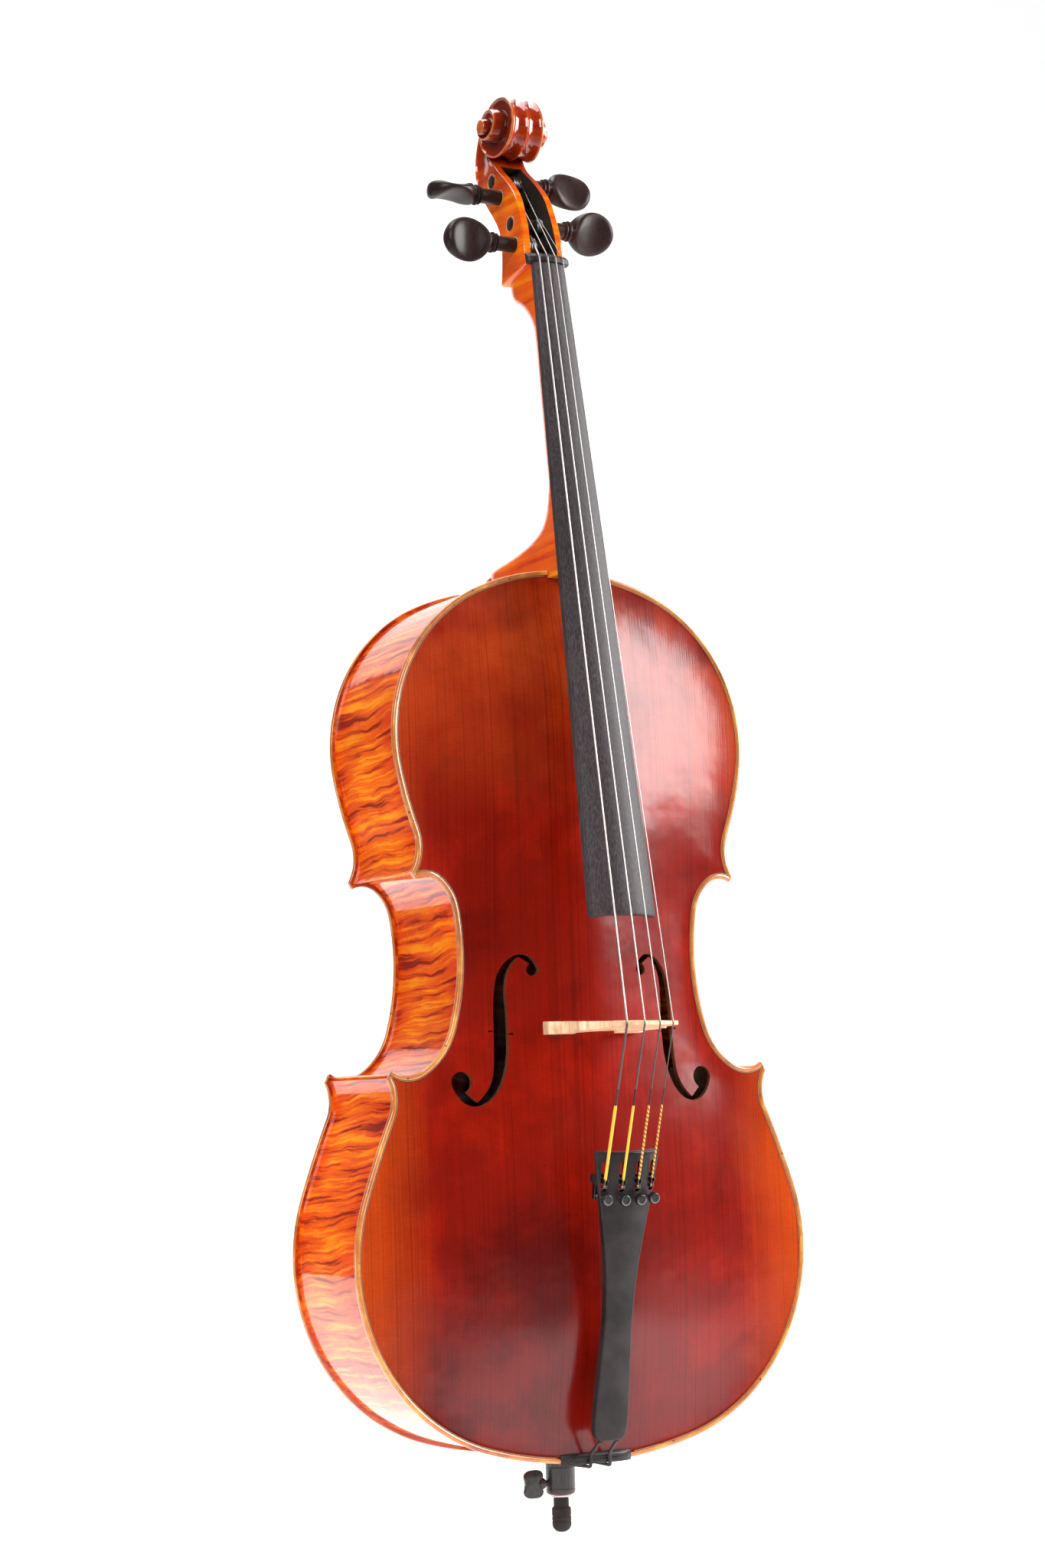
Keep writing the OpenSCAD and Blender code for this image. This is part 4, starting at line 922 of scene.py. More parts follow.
def nut_top(x, along):
    """Depth of the nut's top at x; along runs from its lower face (0) to its upper one."""
    top = sag(x) - NUT_RISE
    behind = max(0.0, along - NUT_T / 2)
    front = max(0.0, 1.2 - along) * 0.55
    top += 0.84 * behind + 0.05 * behind ** 2 * 0.5 + front ** 2
    for i, (_, r) in enumerate(STRINGS):
        if abs(x - (i - 1.5) * GAP_NUT) < r + GROOVE_EASE:
            top += GROOVE_DEPTH
    return top


def nut():
    """The nut: its grooved top as a grid, then walls down to the board and a flat base."""
    xs = sorted(set(list(np.linspace(-NUT_HALF, NUT_HALF, 42)) + [
        (i - 1.5) * GAP_NUT + k * (r + GROOVE_EASE + e) for i, (_, r) in enumerate(STRINGS)
        for k in (-1, 1) for e in (-0.02, 0.02)]))
    along = [0.0, 0.3, 0.8, 1.6, 2.8, 3.8, 4.5, 5.2, 6.0, 7.0, 8.0, 8.7, 8.98]
    rows, cols = len(along), len(xs)
    verts = [on_board(x, nut_top(x, a) + max(0.0, abs(x) - NUT_ROUND_FROM) ** 2 * 0.9, -a)
             for a in along for x in xs]
    faces = grid_faces(rows, cols, closed_cols=False)
    base = len(verts)
    rim = list(range(cols)) + [i * cols + cols - 1 for i in range(1, rows)]
    rim += [(rows - 1) * cols + j for j in range(cols - 2, -1, -1)]
    rim += [i * cols for i in range(rows - 2, 0, -1)]
    verts += [on_board(xs[r % cols], BOARD_NUT_T, -along[r // cols]) for r in rim]
    for k in range(len(rim)):
        k2 = (k + 1) % len(rim)
        faces.append((rim[k], rim[k2], base + k2, base + k))
    faces.append(tuple(base + k for k in range(len(rim))))
    obj = settle(mesh_piece("nut_grooved", verts, faces, [NUT_BLACK]), sharp=32)
    piece(obj, "root", "ebony", "nut")


nut()

# ---------------------------------------------------------------- neck, pegbox and scroll
NECK_WOOD = maple_finish("neck_maple_varnished", (0.50, 0.032, 0.001), (0.80, 0.11, 0.001),
                         (1.0, 0.30, 0.003), scale=26, rot=(0, math.radians(90), 0),
                         bands=(0.32, 0.49, 0.68), carved=True)
# near-black wood for the string channel's cut walls: painted shade in the recess
CHANNEL_PAINTED_SHADE = raw_wood("pegbox_channel_painted_shade", (0.012, 0.008, 0.006), (0.03, 0.02, 0.015))


def board_under(z):
    """Distance from the ribs' middle plane to the board's underside at a height."""
    k = (NUT_Z - z) / (NUT_Z - BOARD_END_Z)
    return (BOARD_NUT_Y + k * (BOARD_END_Y - BOARD_NUT_Y)
            + (BOARD_NUT_T + k * (BOARD_END_T - BOARD_NUT_T)) / math.cos(TILT))


# The share of a section's depth where its sides run straight
FLAT_SIDE = 0.06
# Side view of the neck's back edge, from the heel's cap up to the chin under the pegbox
BACK_LINE = [(56.2, 770.0), (50.0, 771.6), (36.0, 773.6), (18.0, 776.0), (-2.0, 779.5),
             (-22.0, 784.5), (-38.0, 791.0), (-48.5, 800.0), (-53.4, 812.0), (-53.6, 825.0),
             (-50.6, 845.0), (-44.8, 885.0), (-39.6, 925.0), (-35.6, 955.0), (-31.5, 971.0),
             (-25.0, 982.0), (-15.0, 990.8), (-6.0, 996.5), (-0.5, 1001.5), (2.4, 1008.0),
             (3.0, 1014.0), (2.6, 1022.0)]


def neck_ring(front, back, half_front, half_back, square, straight, n=16):
    """A section from the board's underside round the back; square is 1 for a boxy heel."""
    power = 2.0 + 5.0 * square
    pts = [(-half_front, *front)]
    for k in range(2 * n + 1):
        w = -math.pi / 2 + math.pi * k / (2 * n)
        d = straight + (1 - straight) * abs(math.cos(w)) ** (2 / power)
        if k in (0, 2 * n):
            d = straight
        half = half_front + (half_back - half_front) * d
        x = math.copysign(abs(math.sin(w)) ** (2 / power), w) * half
        pts.append((x, front[0] + d * (back[0] - front[0]), front[1] + d * (back[1] - front[1])))
    return pts + [(half_front, *front)]


def share(z, start, run):
    """How far z has come, from 0 to 1, on a run that begins at start."""
    return min(1.0, max(0.0, (z - start) / run))


def neck_rings():
    """Sections up the neck: the boxy heel, the round shaft, and the chin's squarer ones."""
    rings = [neck_ring((board_under(z), z), (56.4, z), HEEL_FRONT, HEEL_BACK, 1.0, FLAT_SIDE)
             for z in (747.5, 755.0, 762.0, 768.0)]
    for y, z in smooth_line(BACK_LINE, 6):
        s = share(z, 775, 60.0)
        s = s * s * (3 - 2 * s)
        half = HEEL_FRONT - 0.2 * s - 4.0 * share(z, 800, 180.0)
        rise = 14.0 * share(z, 968, 22.0)
        chin = share(z, 972, 26.0)
        rings.append(neck_ring((board_under(z + rise), z + rise), (y, z + 0.4 * rise), half,
                               half - (1 - s) * 4.0 + 1.2 * chin, 1 - s + 0.42 * chin,
                               FLAT_SIDE + 0.2 * chin))
    return rings


neck = loft("neck_shaft_carved", neck_rings(), [NECK_WOOD], sharp=42, merge=0.01)
piece(neck, "root", "neck_maple", "neck")

# Pegbox, seen from the side, as (y, height): front edge of the cheeks, then the back
BOX_FRONT = [(-41.5, 1029), (-39.8, 1040), (-38.2, 1052), (-35.0, 1066), (-30.5, 1078),
             (-25.8, 1090), (-20.5, 1098.6), (-13.4, 1107), (-4.2, 1116), (5.6, 1124.2),
             (13.2, 1131), (19.0, 1137.0)]
BOX_BACK = [(2.4, 1020.0), (1.8, 1030), (1.6, 1040), (2.4, 1055), (6.2, 1068.5), (11.6, 1077.5),
            (19.3, 1087), (27, 1095.5), (33.6, 1103), (40.2, 1111), (45.6, 1119.5), (48.6, 1129)]
PEGBOX_TOP_HALF = 16.5


def box_half(z):
    """Half width of the pegbox at a height."""
    k = share(z, 1022, 118.0)
    return PEGBOX_NUT_HALF + (PEGBOX_TOP_HALF - PEGBOX_NUT_HALF) * k ** 0.9


def resample(line, n):
    """n points at even steps along a broken line."""
    p = np.array(line, float)
    s = np.concatenate([[0], np.cumsum(np.linalg.norm(np.diff(p, axis=0), axis=1))])
    t = np.linspace(0, s[-1], n)
    return np.column_stack([np.interp(t, s, p[:, 0]), np.interp(t, s, p[:, 1])])


# The scroll: a spiral about its eye, as angle from the back, radius, half width
EYE_Y, EYE_Z = 10.5, 1165.3
TURNS = [(-42, 51.5, 16.8), (-30, 45.6, 16.3), (-15, 39.2, 15.7), (0, 34.4, 15.2),
         (20, 31.0, 14.8), (45, 28.8, 14.5), (90, 27.7, 14.4), (130, 28.4, 14.9), (165, 29.3, 15.6),
         (200, 28.6, 16.6), (235, 27.0, 17.8), (270, 25.5, 19.2), (300, 24.3, 20.4),
         (330, 22.6, 21.6), (360, 20.6, 22.6), (405, 18.0, 23.9), (450, 16.4, 25.0),
         (500, 15.3, 26.3), (550, 14.0, 27.6), (600, 12.2, 29.2), (650, 10.2, 30.8),
         (700, 8.0, 32.4), (740, 6.4, 33.4)]
# Growth of all the radii, the rim's height, the spiral's step in degrees
SPIRAL_SCALE, RIM, STEP = 1.035, 1.1, 6.0


def eased_turns():
    """The spiral's angles, radii and half widths at even steps, without corners."""
    angles = np.arange(TURNS[0][0], TURNS[-1][0] + 4.1, STEP)
    known = np.array(TURNS, float)
    r = SPIRAL_SCALE * np.interp(angles, known[:, 0], known[:, 1])
    x = np.interp(angles, known[:, 0], known[:, 2])
    for _ in range(8):
        r[1:-1] = 0.25 * r[:-2] + 0.5 * r[1:-1] + 0.25 * r[2:]
        x[1:-1] = 0.25 * x[:-2] + 0.5 * x[1:-1] + 0.25 * x[2:]
    return angles, r, x


ANGLES, RADII, WIDTHS = eased_turns()
LAP = int(360 / STEP)


def side_profile(reach, x0, x1, carve):
    """Points (inwards from the rim, half width): a bevelled rim, a dished floor, then the
    wall of the next turn; with carve 0 it is a plain cheek with a bevel at both edges."""
    s = min(1.0, reach / 6.0)
    bevel = 1.25 * s
    out = [(0.0, x0 - RIM), (0.4 * bevel, x0 - RIM + 0.85 * RIM * s), (bevel, x0 - RIM + RIM * s)]
    top = x0 - RIM + RIM * s
    lean = min(0.12 * (x1 - x0 + 1.0), 0.35 * reach)
    foot = (1 - carve) * (reach - 2.2) + carve * (reach - lean - 0.4 * s)
    start = bevel + 0.4 * s
    for t in (0.03, 0.14, 0.32, 0.52, 0.72, 0.88):
        dish = carve * (0.5 + 2.6 * math.sin(math.pi * min(1.0, 0.1 + t * 0.85)) ** 0.9) * s
        out.append((start + t * (foot - start), top - dish))
    plain = [(reach - 2.0, x0), (reach - 1.25, x0), (reach - 0.6, x0 - 0.25 * RIM),
             (reach - 0.2, x0 - 0.7 * RIM), (reach, x0 - RIM)]
    base = top - 1.9 * s
    wall = [(foot, base)]
    for t in (0.25, 0.55, 0.85):
        wall.append((foot + t * (reach - foot) - 0.5 * s * math.sin(math.pi * t) * 0.6,
                     base + t * (x1 - RIM - base)))
    wall.append((reach, x1 - RIM))
    for a, b in zip(plain, wall):
        out.append(tuple((1 - carve) * u + carve * v for u, v in zip(a, b)))
    return out


ACROSS = 33
# The rounded eye: share of the last turn's radius, rise above its rim
EYE_CAP = [(1, 0), (0.93, 0.75), (0.78, 1.15), (0.45, 1.5), (0.1, 1.62)]
# Painted shade at each point of the side profile, darkest at the foot of each wall; below zero it
# is a painted highlight on the rims
PROFILE_PAINTED_SHADE = (-0.3, -1.0, -0.5, 0.0, 0.12, 0.3, 0.5, 0.72, 0.92, 1.0, 0.85, 0.55, 0.15, -0.3)


def flutes(deep):
    """Depth below the rims across the back: two flutes with a ridge between them."""
    out = []
    for k in range(ACROSS):
        u = abs(-1 + 2 * k / (ACROSS - 1))
        out.append(deep * math.sin(math.pi * min(1.0, u / 0.94)) ** 0.8 if 0 < u < 0.94 else 0.0)
    return out


def head_ring(back, front, x0, x1, carve, deep_back, deep_front):
    """A closed section of the head, from its back line to its front line."""
    b, f = np.array(back, float), np.array(front, float)
    reach = float(np.linalg.norm(f - b))
    way = (f - b) / reach
    sides = side_profile(reach, x0, x1, carve)
    ring = [(x, *(b + way * s)) for s, x in sides]
    e = (1 - carve) * (x0 - RIM) + carve * (x1 - RIM)
    for k, d in enumerate(flutes(deep_front)):
        if 0 < k < ACROSS - 1:
            ring.append((e * (1 - 2 * k / (ACROSS - 1)), *(f + way * d)))
    ring += [(-x, *(b + way * s)) for s, x in sides[::-1]]
    e = x0 - RIM
    for k, d in enumerate(flutes(deep_back)):
        if 0 < k < ACROSS - 1:
            ring.append((-e * (1 - 2 * k / (ACROSS - 1)), *(b + way * d)))
    return ring


def spiral_point(a, r):
    w = math.radians(a)
    return (EYE_Y + r * math.cos(w), EYE_Z + r * math.sin(w))


def head():
    """Pegbox and scroll as one closed form, before the channel is cut."""
    deep, steps = 3.0, 33
    rings = []
    back = resample(BOX_BACK + [spiral_point(ANGLES[0], RADII[0])], steps + 1)
    front = resample(BOX_FRONT + [(23.0, 1142.0), spiral_point(ANGLES[0], RADII[LAP])], steps + 1)
    b, f = back[0], front[0]
    for drop, inset in ((0.9, 1.3), (0.35, 0.5)):
        rings.append(head_ring(b - [0, drop], f - [0, drop], box_half(b[1]) - inset, WIDTHS[LAP],
                               0.0, 0.0, 0.0))
    for i, (b, f) in enumerate(zip(back, front)):
        k = i / steps
        carve = max(0.0, (k - 0.82) / 0.18) ** 1.5
        half = box_half(0.5 * (b[1] + f[1])) if i < steps else WIDTHS[0]
        rings.append(head_ring(b, f, half, WIDTHS[LAP], carve,
                               deep * share(k, 0.06, 0.3) ** 0.6, deep * carve))
    n = len(rings[0])
    verts = [p for r in rings for p in r]
    painted_shade = [0.0] * len(verts)
    faces = grid_faces(len(rings), n)
    faces.append(tuple(range(n)))
    for side in (1, -1):
        base = len(verts)
        count = len(ANGLES)
        for i in range(count):
            j = i + LAP
            r0, x0 = RADII[i], WIDTHS[i]
            r1, x1 = (RADII[j], WIDTHS[j]) if j < count else (RADII[-1], WIDTHS[-1])
            for s, x in side_profile(r0 - r1 + 1e-6, x0, x1, 1.0):
                verts.append((side * x, *spiral_point(ANGLES[i], r0 - s)))
            painted_shade += PROFILE_PAINTED_SHADE
        faces += [tuple(base + q for q in f)
                  for f in grid_faces(count, len(PROFILE_PAINTED_SHADE), closed_cols=False)]
        eye = len(verts)
        r, x = RADII[-1], WIDTHS[-1] - RIM
        for part, out in EYE_CAP:
            verts += [(side * (x + out), *spiral_point(a, r * part)) for a in ANGLES[:LAP]]
            # the eye's rounded boss gets a painted highlight
            painted_shade += [-0.5] * LAP
        faces += [tuple(eye + q for q in f) for f in grid_faces(len(EYE_CAP), LAP)]
        faces.append(tuple(eye + (len(EYE_CAP) - 1) * LAP + i for i in range(LAP)))
    base = len(verts)
    for i in range(LAP + 1):
        e = WIDTHS[i] - RIM
        for k, d in enumerate(flutes(deep)):
            verts.append((-e + 2 * e * k / (ACROSS - 1), *spiral_point(ANGLES[i], RADII[i] - d)))
            # painted shade deep in the flutes, a painted highlight on the ridge and the rims
            painted_shade.append(-0.4 if d < 0.2 else 0.34 * (d / deep) ** 2)
    faces += [tuple(base + q for q in f) for f in grid_faces(LAP + 1, ACROSS, closed_cols=False)]
    return verts, faces, painted_shade


# Thickness of the pegbox cheeks, and the string channel seen from the side
CHEEK = 6.3
PEG_CHANNEL = [(-70, 1039.5), (-70, 1120), (12, 1134), (36, 1126), (27, 1105), (9, 1088),
               (-3, 1070), (-6, 1056), (-7, 1039.5)]


def channel_cutter():
    verts = [(side * (box_half(z) - CHEEK), y, z) for side in (-1, 1) for y, z in PEG_CHANNEL]
    faces = prism_faces(len(PEG_CHANNEL))
    return settle(mesh_piece("cut_channel", verts, faces, [CHANNEL_PAINTED_SHADE]), sharp=30)


verts, faces, painted_shade = head()
scroll = mesh_piece("pegbox_scroll_carved", verts, faces, [NECK_WOOD])
# the carve attribute holds the painted shade and highlights for the varnish
scroll.data.attributes.new("carve", "FLOAT", "POINT").data.foreach_set("value", painted_shade)
settle(scroll, merge=0.03, sharp=38)
settle(cut_away(scroll, [channel_cutter()]), sharp=38)
piece(scroll, "root", "neck_maple")


# ---------------------------------------------------------------- pegs and their strings' coils
PEG_BLACK = black_wood("peg_ebony", (0.008, 0.004, 0.0035), (0.030, 0.014, 0.012), 0.36,
                       (1100, 1100, 1100), coat=0.04)
PALE_RIM = raw_wood("peg_hole_pale", (0.45, 0.22, 0.08), (0.70, 0.42, 0.20),
                    (300, 300, 300), 0.4)
STEEL = metal("string_steel_wound", (0.38, 0.36, 0.34), 0.3, (60, 60, 4200), 0.04)
# Letter, side of the head, distance forward, height, turn of the head in degrees
PEGS = [("c", -1, -21.0, 1050.5, 88), ("g", -1, 6.0, 1100.8, 0),
        ("d", 1, 20.0, 1119.5, 70), ("a", 1, -14.0, 1071.5, -65)]
PEG_R = 6.5
# How much further in the treble pegs have been pressed than the bass ones
PUSHED = (0, 0, 5, 3)
# Where each string leaves its coil, and the coil's full turns; the last part turn climbs out
COIL_X = (-6, -6, 6, 8.3)
COIL_TURNS = (5, 5, 6, 6)
CLIMB, PER_TURN = 0.6, 36
# The pale edge of a peg hole: height above the cheek, radius
HOLE_RIM = [(-0.4, 7.3), (0.12, 7.3), (0.2, 7.15), (0.2, 6.9), (0.0, 6.72), (-0.5, 6.7)]


def peg_frame(side, y, z, turn):
    """Maps a peg's own frame, with its length towards the head, into the object's frame."""
    t = math.radians(turn)

    def place(a, b, along):
        u = a * math.cos(t) - b * math.sin(t)
        v = a * math.sin(t) + b * math.cos(t)
        return (side * along, y + v, z - side * u)
    return place


# The peg's collar: along, radius; then its head: along, half thickness between the thumb hollows
PEG_COLLAR = [(37.6, 6.6), (37.9, 7.6), (38.6, 8.3), (39.5, 8.1), (40.0, 6.7), (40.5, 6.6),
              (41.0, 8.2), (41.9, 9.1), (42.9, 8.9), (43.4, 7.2), (44.0, 6.7), (44.6, 7.2)]
HEAD_AT, HEAD_LONG, HEAD_BROAD = 66.4, 21.6, 19.7
HEAD_THICK = [(45.0, 8.4), (47.0, 9.4), (50.0, 9.0), (54.0, 7.4), (58.0, 5.5), (62.0, 4.2),
              (66.0, 3.6), (70.0, 3.6), (74.0, 4.4), (78.0, 5.9), (81.5, 7.0), (84.5, 7.0),
              (86.8, 5.6), (88.0, 3.2)]


def peg_rings(side, y, z, turn, tail, push):
    """Sections of a peg from its small end, tail mm past the middle, to the end of its head."""
    place = peg_frame(side, y, z, turn)
    rows = [(-tail, 4.6, 4.6), (-tail + 0.25, 5.5, 5.5), (-tail + 0.9, 6.1, 6.1),
            (-tail + 1.8, 6.3, 6.3), (10, 6.45, 6.45), (30, 6.55, 6.55)]
    rows += [(along - push, r, r) for along, r in PEG_COLLAR]
    thick = smooth_line(HEAD_THICK, 6)
    for w in np.linspace(math.radians(162), 0, 44)[:-1]:
        along = HEAD_AT + HEAD_LONG * math.cos(w)
        broad = HEAD_BROAD * math.sin(w) ** 0.96
        t = float(np.interp(along, thick[:, 0], thick[:, 1]))
        rows.append((along - push, min(t, t * 0.35 + broad * 0.75, 1.3 * broad), broad))
    rows.append((HEAD_AT + HEAD_LONG - 0.02 - push, 0.25, 0.3))
    rings = []
    for along, thick_half, broad in rows:
        flat = 2.0 + 0.9 * min(1.0, max(0.0, (broad - thick_half) / 8.0))
        ring = []
        for k in range(64):
            w = 2 * math.pi * k / 64
            u = math.copysign(abs(math.cos(w)) ** (2 / flat), math.cos(w))
            v = math.copysign(abs(math.sin(w)) ** (2 / 2.3), math.sin(w))
            ring.append(place(v * thick_half, u * broad, along))
        rings.append(ring)
    return rings


def leave_point(i):
    """Where string i leaves its coil for the nut, the angle there, and its radius."""
    _, _, y, z, _ = PEGS[i]
    r = STRINGS[i][1]
    n = nut_point(i)
    far = PEG_R + 3 * r + 0.2
    v = (n[1] - y, n[2] - z)
    turn = math.atan2(v[1], v[0]) - math.acos(far / math.hypot(*v))
    return (COIL_X[i], y + far * math.cos(turn), z + far * math.sin(turn)), turn, far


def nut_point(i):
    """Where string i lies in its groove."""
    x = (i - 1.5) * GAP_NUT
    return (x, BOARD_NUT_Y - NUT_RISE + sag(x) - STRINGS[i][1] - 0.1, NUT_Z + NUT_T / 2)


def coil_path(i):
    """The string's turns round its peg, then the climb over them to the nut."""
    _, side, y, z, _ = PEGS[i]
    r = STRINGS[i][1]
    _, last, far = leave_point(i)
    n, pitch = COIL_TURNS[i], 2 * r + 0.15
    away = 1 if side > 0 else -1
    near = PEG_R + r + 0.02
    path = []
    for k in range(n * PER_TURN + 1):
        w = last - 2 * math.pi * (n + CLIMB) + 2 * math.pi * k / PER_TURN
        x = COIL_X[i] + away * (n / 2 - k / PER_TURN) * pitch
        path.append((x, y + near * math.cos(w), z + near * math.sin(w)))
    x_end = COIL_X[i] - away * (n / 2) * pitch
    climb = int(CLIMB * PER_TURN)
    for k in range(1, climb + 1):
        s = k / climb
        s = s * s * (3 - 2 * s)
        w = last - 2 * math.pi * CLIMB * (1 - k / climb)
        rr = PEG_R + r + s * (far - PEG_R - r)
        path.append((x_end + s * (COIL_X[i] - x_end), y + rr * math.cos(w), z + rr * math.sin(w)))
    return path


def hole_rim(name, side, y, z):
    """The pale wood of a peg hole's edge on one cheek."""
    face = box_half(z) + 0.02
    rings = [[(side * (face + along), y + rr * math.cos(w), z + rr * math.sin(w))
              for w in np.linspace(0, 2 * math.pi, 48, endpoint=False)]
             for along, rr in HOLE_RIM + HOLE_RIM[:1]]
    piece(loft(name, rings, [PALE_RIM], cap=False, sharp=60, merge=0.01), "root", "neck_maple")


for i, (letter, side, y, z, turn) in enumerate(PEGS):
    rings = peg_rings(side, y, z, turn, box_half(z) + 0.9, PUSHED[i])
    piece(loft("peg_%s_turned" % letter, rings, [PEG_BLACK], sharp=50), "peg_" + letter,
          "peg_black", "peg_" + letter)
    rings = tube_rings(coil_path(i), STRINGS[i][1], 10)
    piece(loft("coil_%s_wound" % letter, rings, [STEEL], sharp=60), "peg_" + letter,
          "string_steel", "coil_" + letter)
    hole_rim("peg_hole_rim_" + letter, -side, y, z)
    hole_rim("peg_hole_rim_head_" + letter, side, y, z)


# ---------------------------------------------------------------- tailpiece's frame
TAIL_END_Y, TAIL_END_Z, TAIL_LEN = -80.0, 21.0, 242.9
TAIL_TILT = math.radians(11.52)
TAIL_R, TAIL_RISE = 64.0, 7.6
TUNER_GAP = 15.0
# Distances along the tailpiece from its narrow end; the pin's depth under the arch
KNOB_V, PIVOT_V, PIVOT_DEPTH = TAIL_LEN - 38.5, TAIL_LEN - 24.0, 11.5
SLOT_LOW, SLOT_HIGH, SLOT_HALF = TAIL_LEN - 33.5, TAIL_LEN - 8.0, 2.5


def tail_place(x, y, v):
    """From the tailpiece's own frame: across, into it, and up from its narrow end."""
    return (x, TAIL_END_Y + y * math.cos(TAIL_TILT) - v * math.sin(TAIL_TILT),
            TAIL_END_Z + y * math.sin(TAIL_TILT) + v * math.cos(TAIL_TILT))


def tail_arch(x):
    return TAIL_R - TAIL_RISE - math.sqrt(TAIL_R ** 2 - x * x)


def tuner_x(i):
    return (i - 1.5) * TUNER_GAP


# ---------------------------------------------------------------- flat pieces with eased edges
def slab(name, loops, half, bevel, place, mats, sharp=38):
    """A flat piece from closed outlines, the first the outside and the rest its holes."""
    curve = bpy.data.curves.new(name, "CURVE")
    curve.dimensions = "2D"
    curve.fill_mode = "BOTH"
    curve.extrude = half - bevel
    curve.bevel_depth = bevel
    curve.bevel_resolution = 2
    curve.offset = -bevel
    for loop in loops:
        s = curve.splines.new("POLY")
        s.points.add(len(loop) - 1)
        for p, (a, b) in zip(s.points, loop):
            p.co = (a, b, 0, 1)
        s.use_cyclic_u = True
    tmp = link(bpy.data.objects.new(name + "_outline", curve))
    bpy.context.view_layer.update()
    me = bpy.data.meshes.new_from_object(tmp.evaluated_get(bpy.context.evaluated_depsgraph_get()))
    bpy.data.objects.remove(tmp)
    bpy.data.curves.remove(curve)
    me.name = name
    for v in me.vertices:
        q = place(*v.co)
        v.co = (q[0] * MM, q[1] * MM, (q[2] + BODY_Z) * MM)
    me.materials.clear()
    for m in mats:
        me.materials.append(m)
    me.polygons.foreach_set("material_index", [0] * len(me.polygons))
    me.polygons.foreach_set("use_smooth", [True] * len(me.polygons))
    return settle(link(bpy.data.objects.new(name, me)), merge=0.01, sharp=sharp)


def mirrored(half_line):
    """A closed outline from its treble half, given from the middle top to the middle bottom."""
    return list(half_line) + [(-a, b) for a, b in half_line[::-1] if abs(a) > 1e-6]


# ---------------------------------------------------------------- bridge
BRIDGE_Z = 362.0
BRIDGE_FOOT_Y = -81.7
CROWN_Y, CROWN_R = -175.0, 62.0
BRIDGE_FOOT_T, BRIDGE_CROWN_T = 11.0, 2.8


def bridge_crest(x):
    """The crown's line, a little lower on the treble side."""
    return CROWN_Y + CROWN_R - math.sqrt(CROWN_R ** 2 - x * x) - 0.03 * x


def bridge_maple():
    f = Finish("bridge_maple_pale", Roughness=0.42, IOR=1.45, Coat_Weight=0.15, Coat_Roughness=0.3)
    at = f.place()
    ray = f.noise(f.place((700, 2400, 260)), 1.0, 3, 0.65)
    ring_tone = f.noise(f.place((60, 420, 60)), 1.0, 3, 0.6)
    color = f.ramp(ring_tone, [(0.32, (0.66, 0.37, 0.19)), (0.6, (0.88, 0.60, 0.38))])
    color = f.mix(0.45, color, f.ramp(ray, [(0.34, 0.6), (0.52, 1.02)]), "MULTIPLY")
    stain = f.noise(at, 55, 4, 0.6)
    color = f.mix(f.remap(stain, 0.55, 0.75, 0.0, 0.4), color, (0.55, 0.28, 0.12))
    f.set(Base_Color=color, Normal=f.bump(ray, 0.25, 0.0003))
    return f.mat


def bridge():
    """The bridge: flank and inner edge of one leg, mirrored, and the heart cut out."""
    f = BRIDGE_FOOT_Y
    toes = [46.0 - 26.0 * k / 8 for k in range(9)]
    floor_y = [-(RIB_HALF + h) + 0.35 for h in arch([(x, BRIDGE_Z) for x in toes])]
    crown = [(x, bridge_crest(x)) for x in np.linspace(-28.6, 28.6, 41)]
    flank = smooth_line([(29.3, f - 84.5), (28.4, f - 76), (28.9, f - 67), (31.0, f - 60.5),
                         (35.0, f - 56.5), (38.3, f - 53.0), (37.6, f - 50.2), (33.6, f - 50.6),
                         (29.0, f - 52.6), (24.6, f - 51.6), (22.2, f - 47.4), (23.4, f - 42.8),
                         (27.4, f - 40.6), (31.6, f - 41.6), (35.2, f - 43.8), (38.6, f - 43.0),
                         (38.2, f - 38.6), (35.6, f - 33.0), (34.2, f - 25.5), (34.6, f - 17.0),
                         (37.0, f - 10.5), (42.0, f - 6.6), (46.6, f - 4.4)], 4)
    inner = smooth_line([(20.2, f - 3.6), (23.4, f - 7.2), (24.4, f - 11.5), (22.6, f - 17.0),
                         (18.2, f - 22.5), (11.5, f - 27.2), (4.6, f - 29.6), (0.0, f - 31.5)], 4)
    foot = list(zip(toes, floor_y))
    right = [tuple(p) for p in flank] + foot + [tuple(p) for p in inner]
    left = [(-a, b) for a, b in right[::-1] if abs(a) > 1e-6]
    outside = crown + right + left
    heart = smooth_line([(0.0, f - 38.5), (3.0, f - 43.0), (7.6, f - 48.6), (9.6, f - 54.0),
                         (8.0, f - 58.6), (4.6, f - 59.6), (1.6, f - 57.4), (0.0, f - 53.5)], 5)
    hole = mirrored([tuple(p) for p in heart])

    def place(a, b, c):
        k = min(1.0, max(0.0, (b - CROWN_Y) / (f + 4 - CROWN_Y)))
        t = BRIDGE_CROWN_T + (BRIDGE_FOOT_T - BRIDGE_CROWN_T) * k ** 0.92
        return (a, b, BRIDGE_Z + c * t / BRIDGE_FOOT_T)
    obj = slab("bridge_cut", [outside, hole], BRIDGE_FOOT_T / 2, 0.7, place, [bridge_maple()])
    piece(obj, "root", "bridge_maple", "bridge")


bridge()


# ---------------------------------------------------------------- strings and silks
DARK_STEEL = metal("string_steel_dark", (0.12, 0.10, 0.10), 0.34, (60, 60, 4200), 0.04)
WRAP_DARK = moulded("string_wrap_dark", (0.045, 0.016, 0.022), 0.5)
BALL = metal("ball_dark", (0.16, 0.12, 0.08), 0.35)


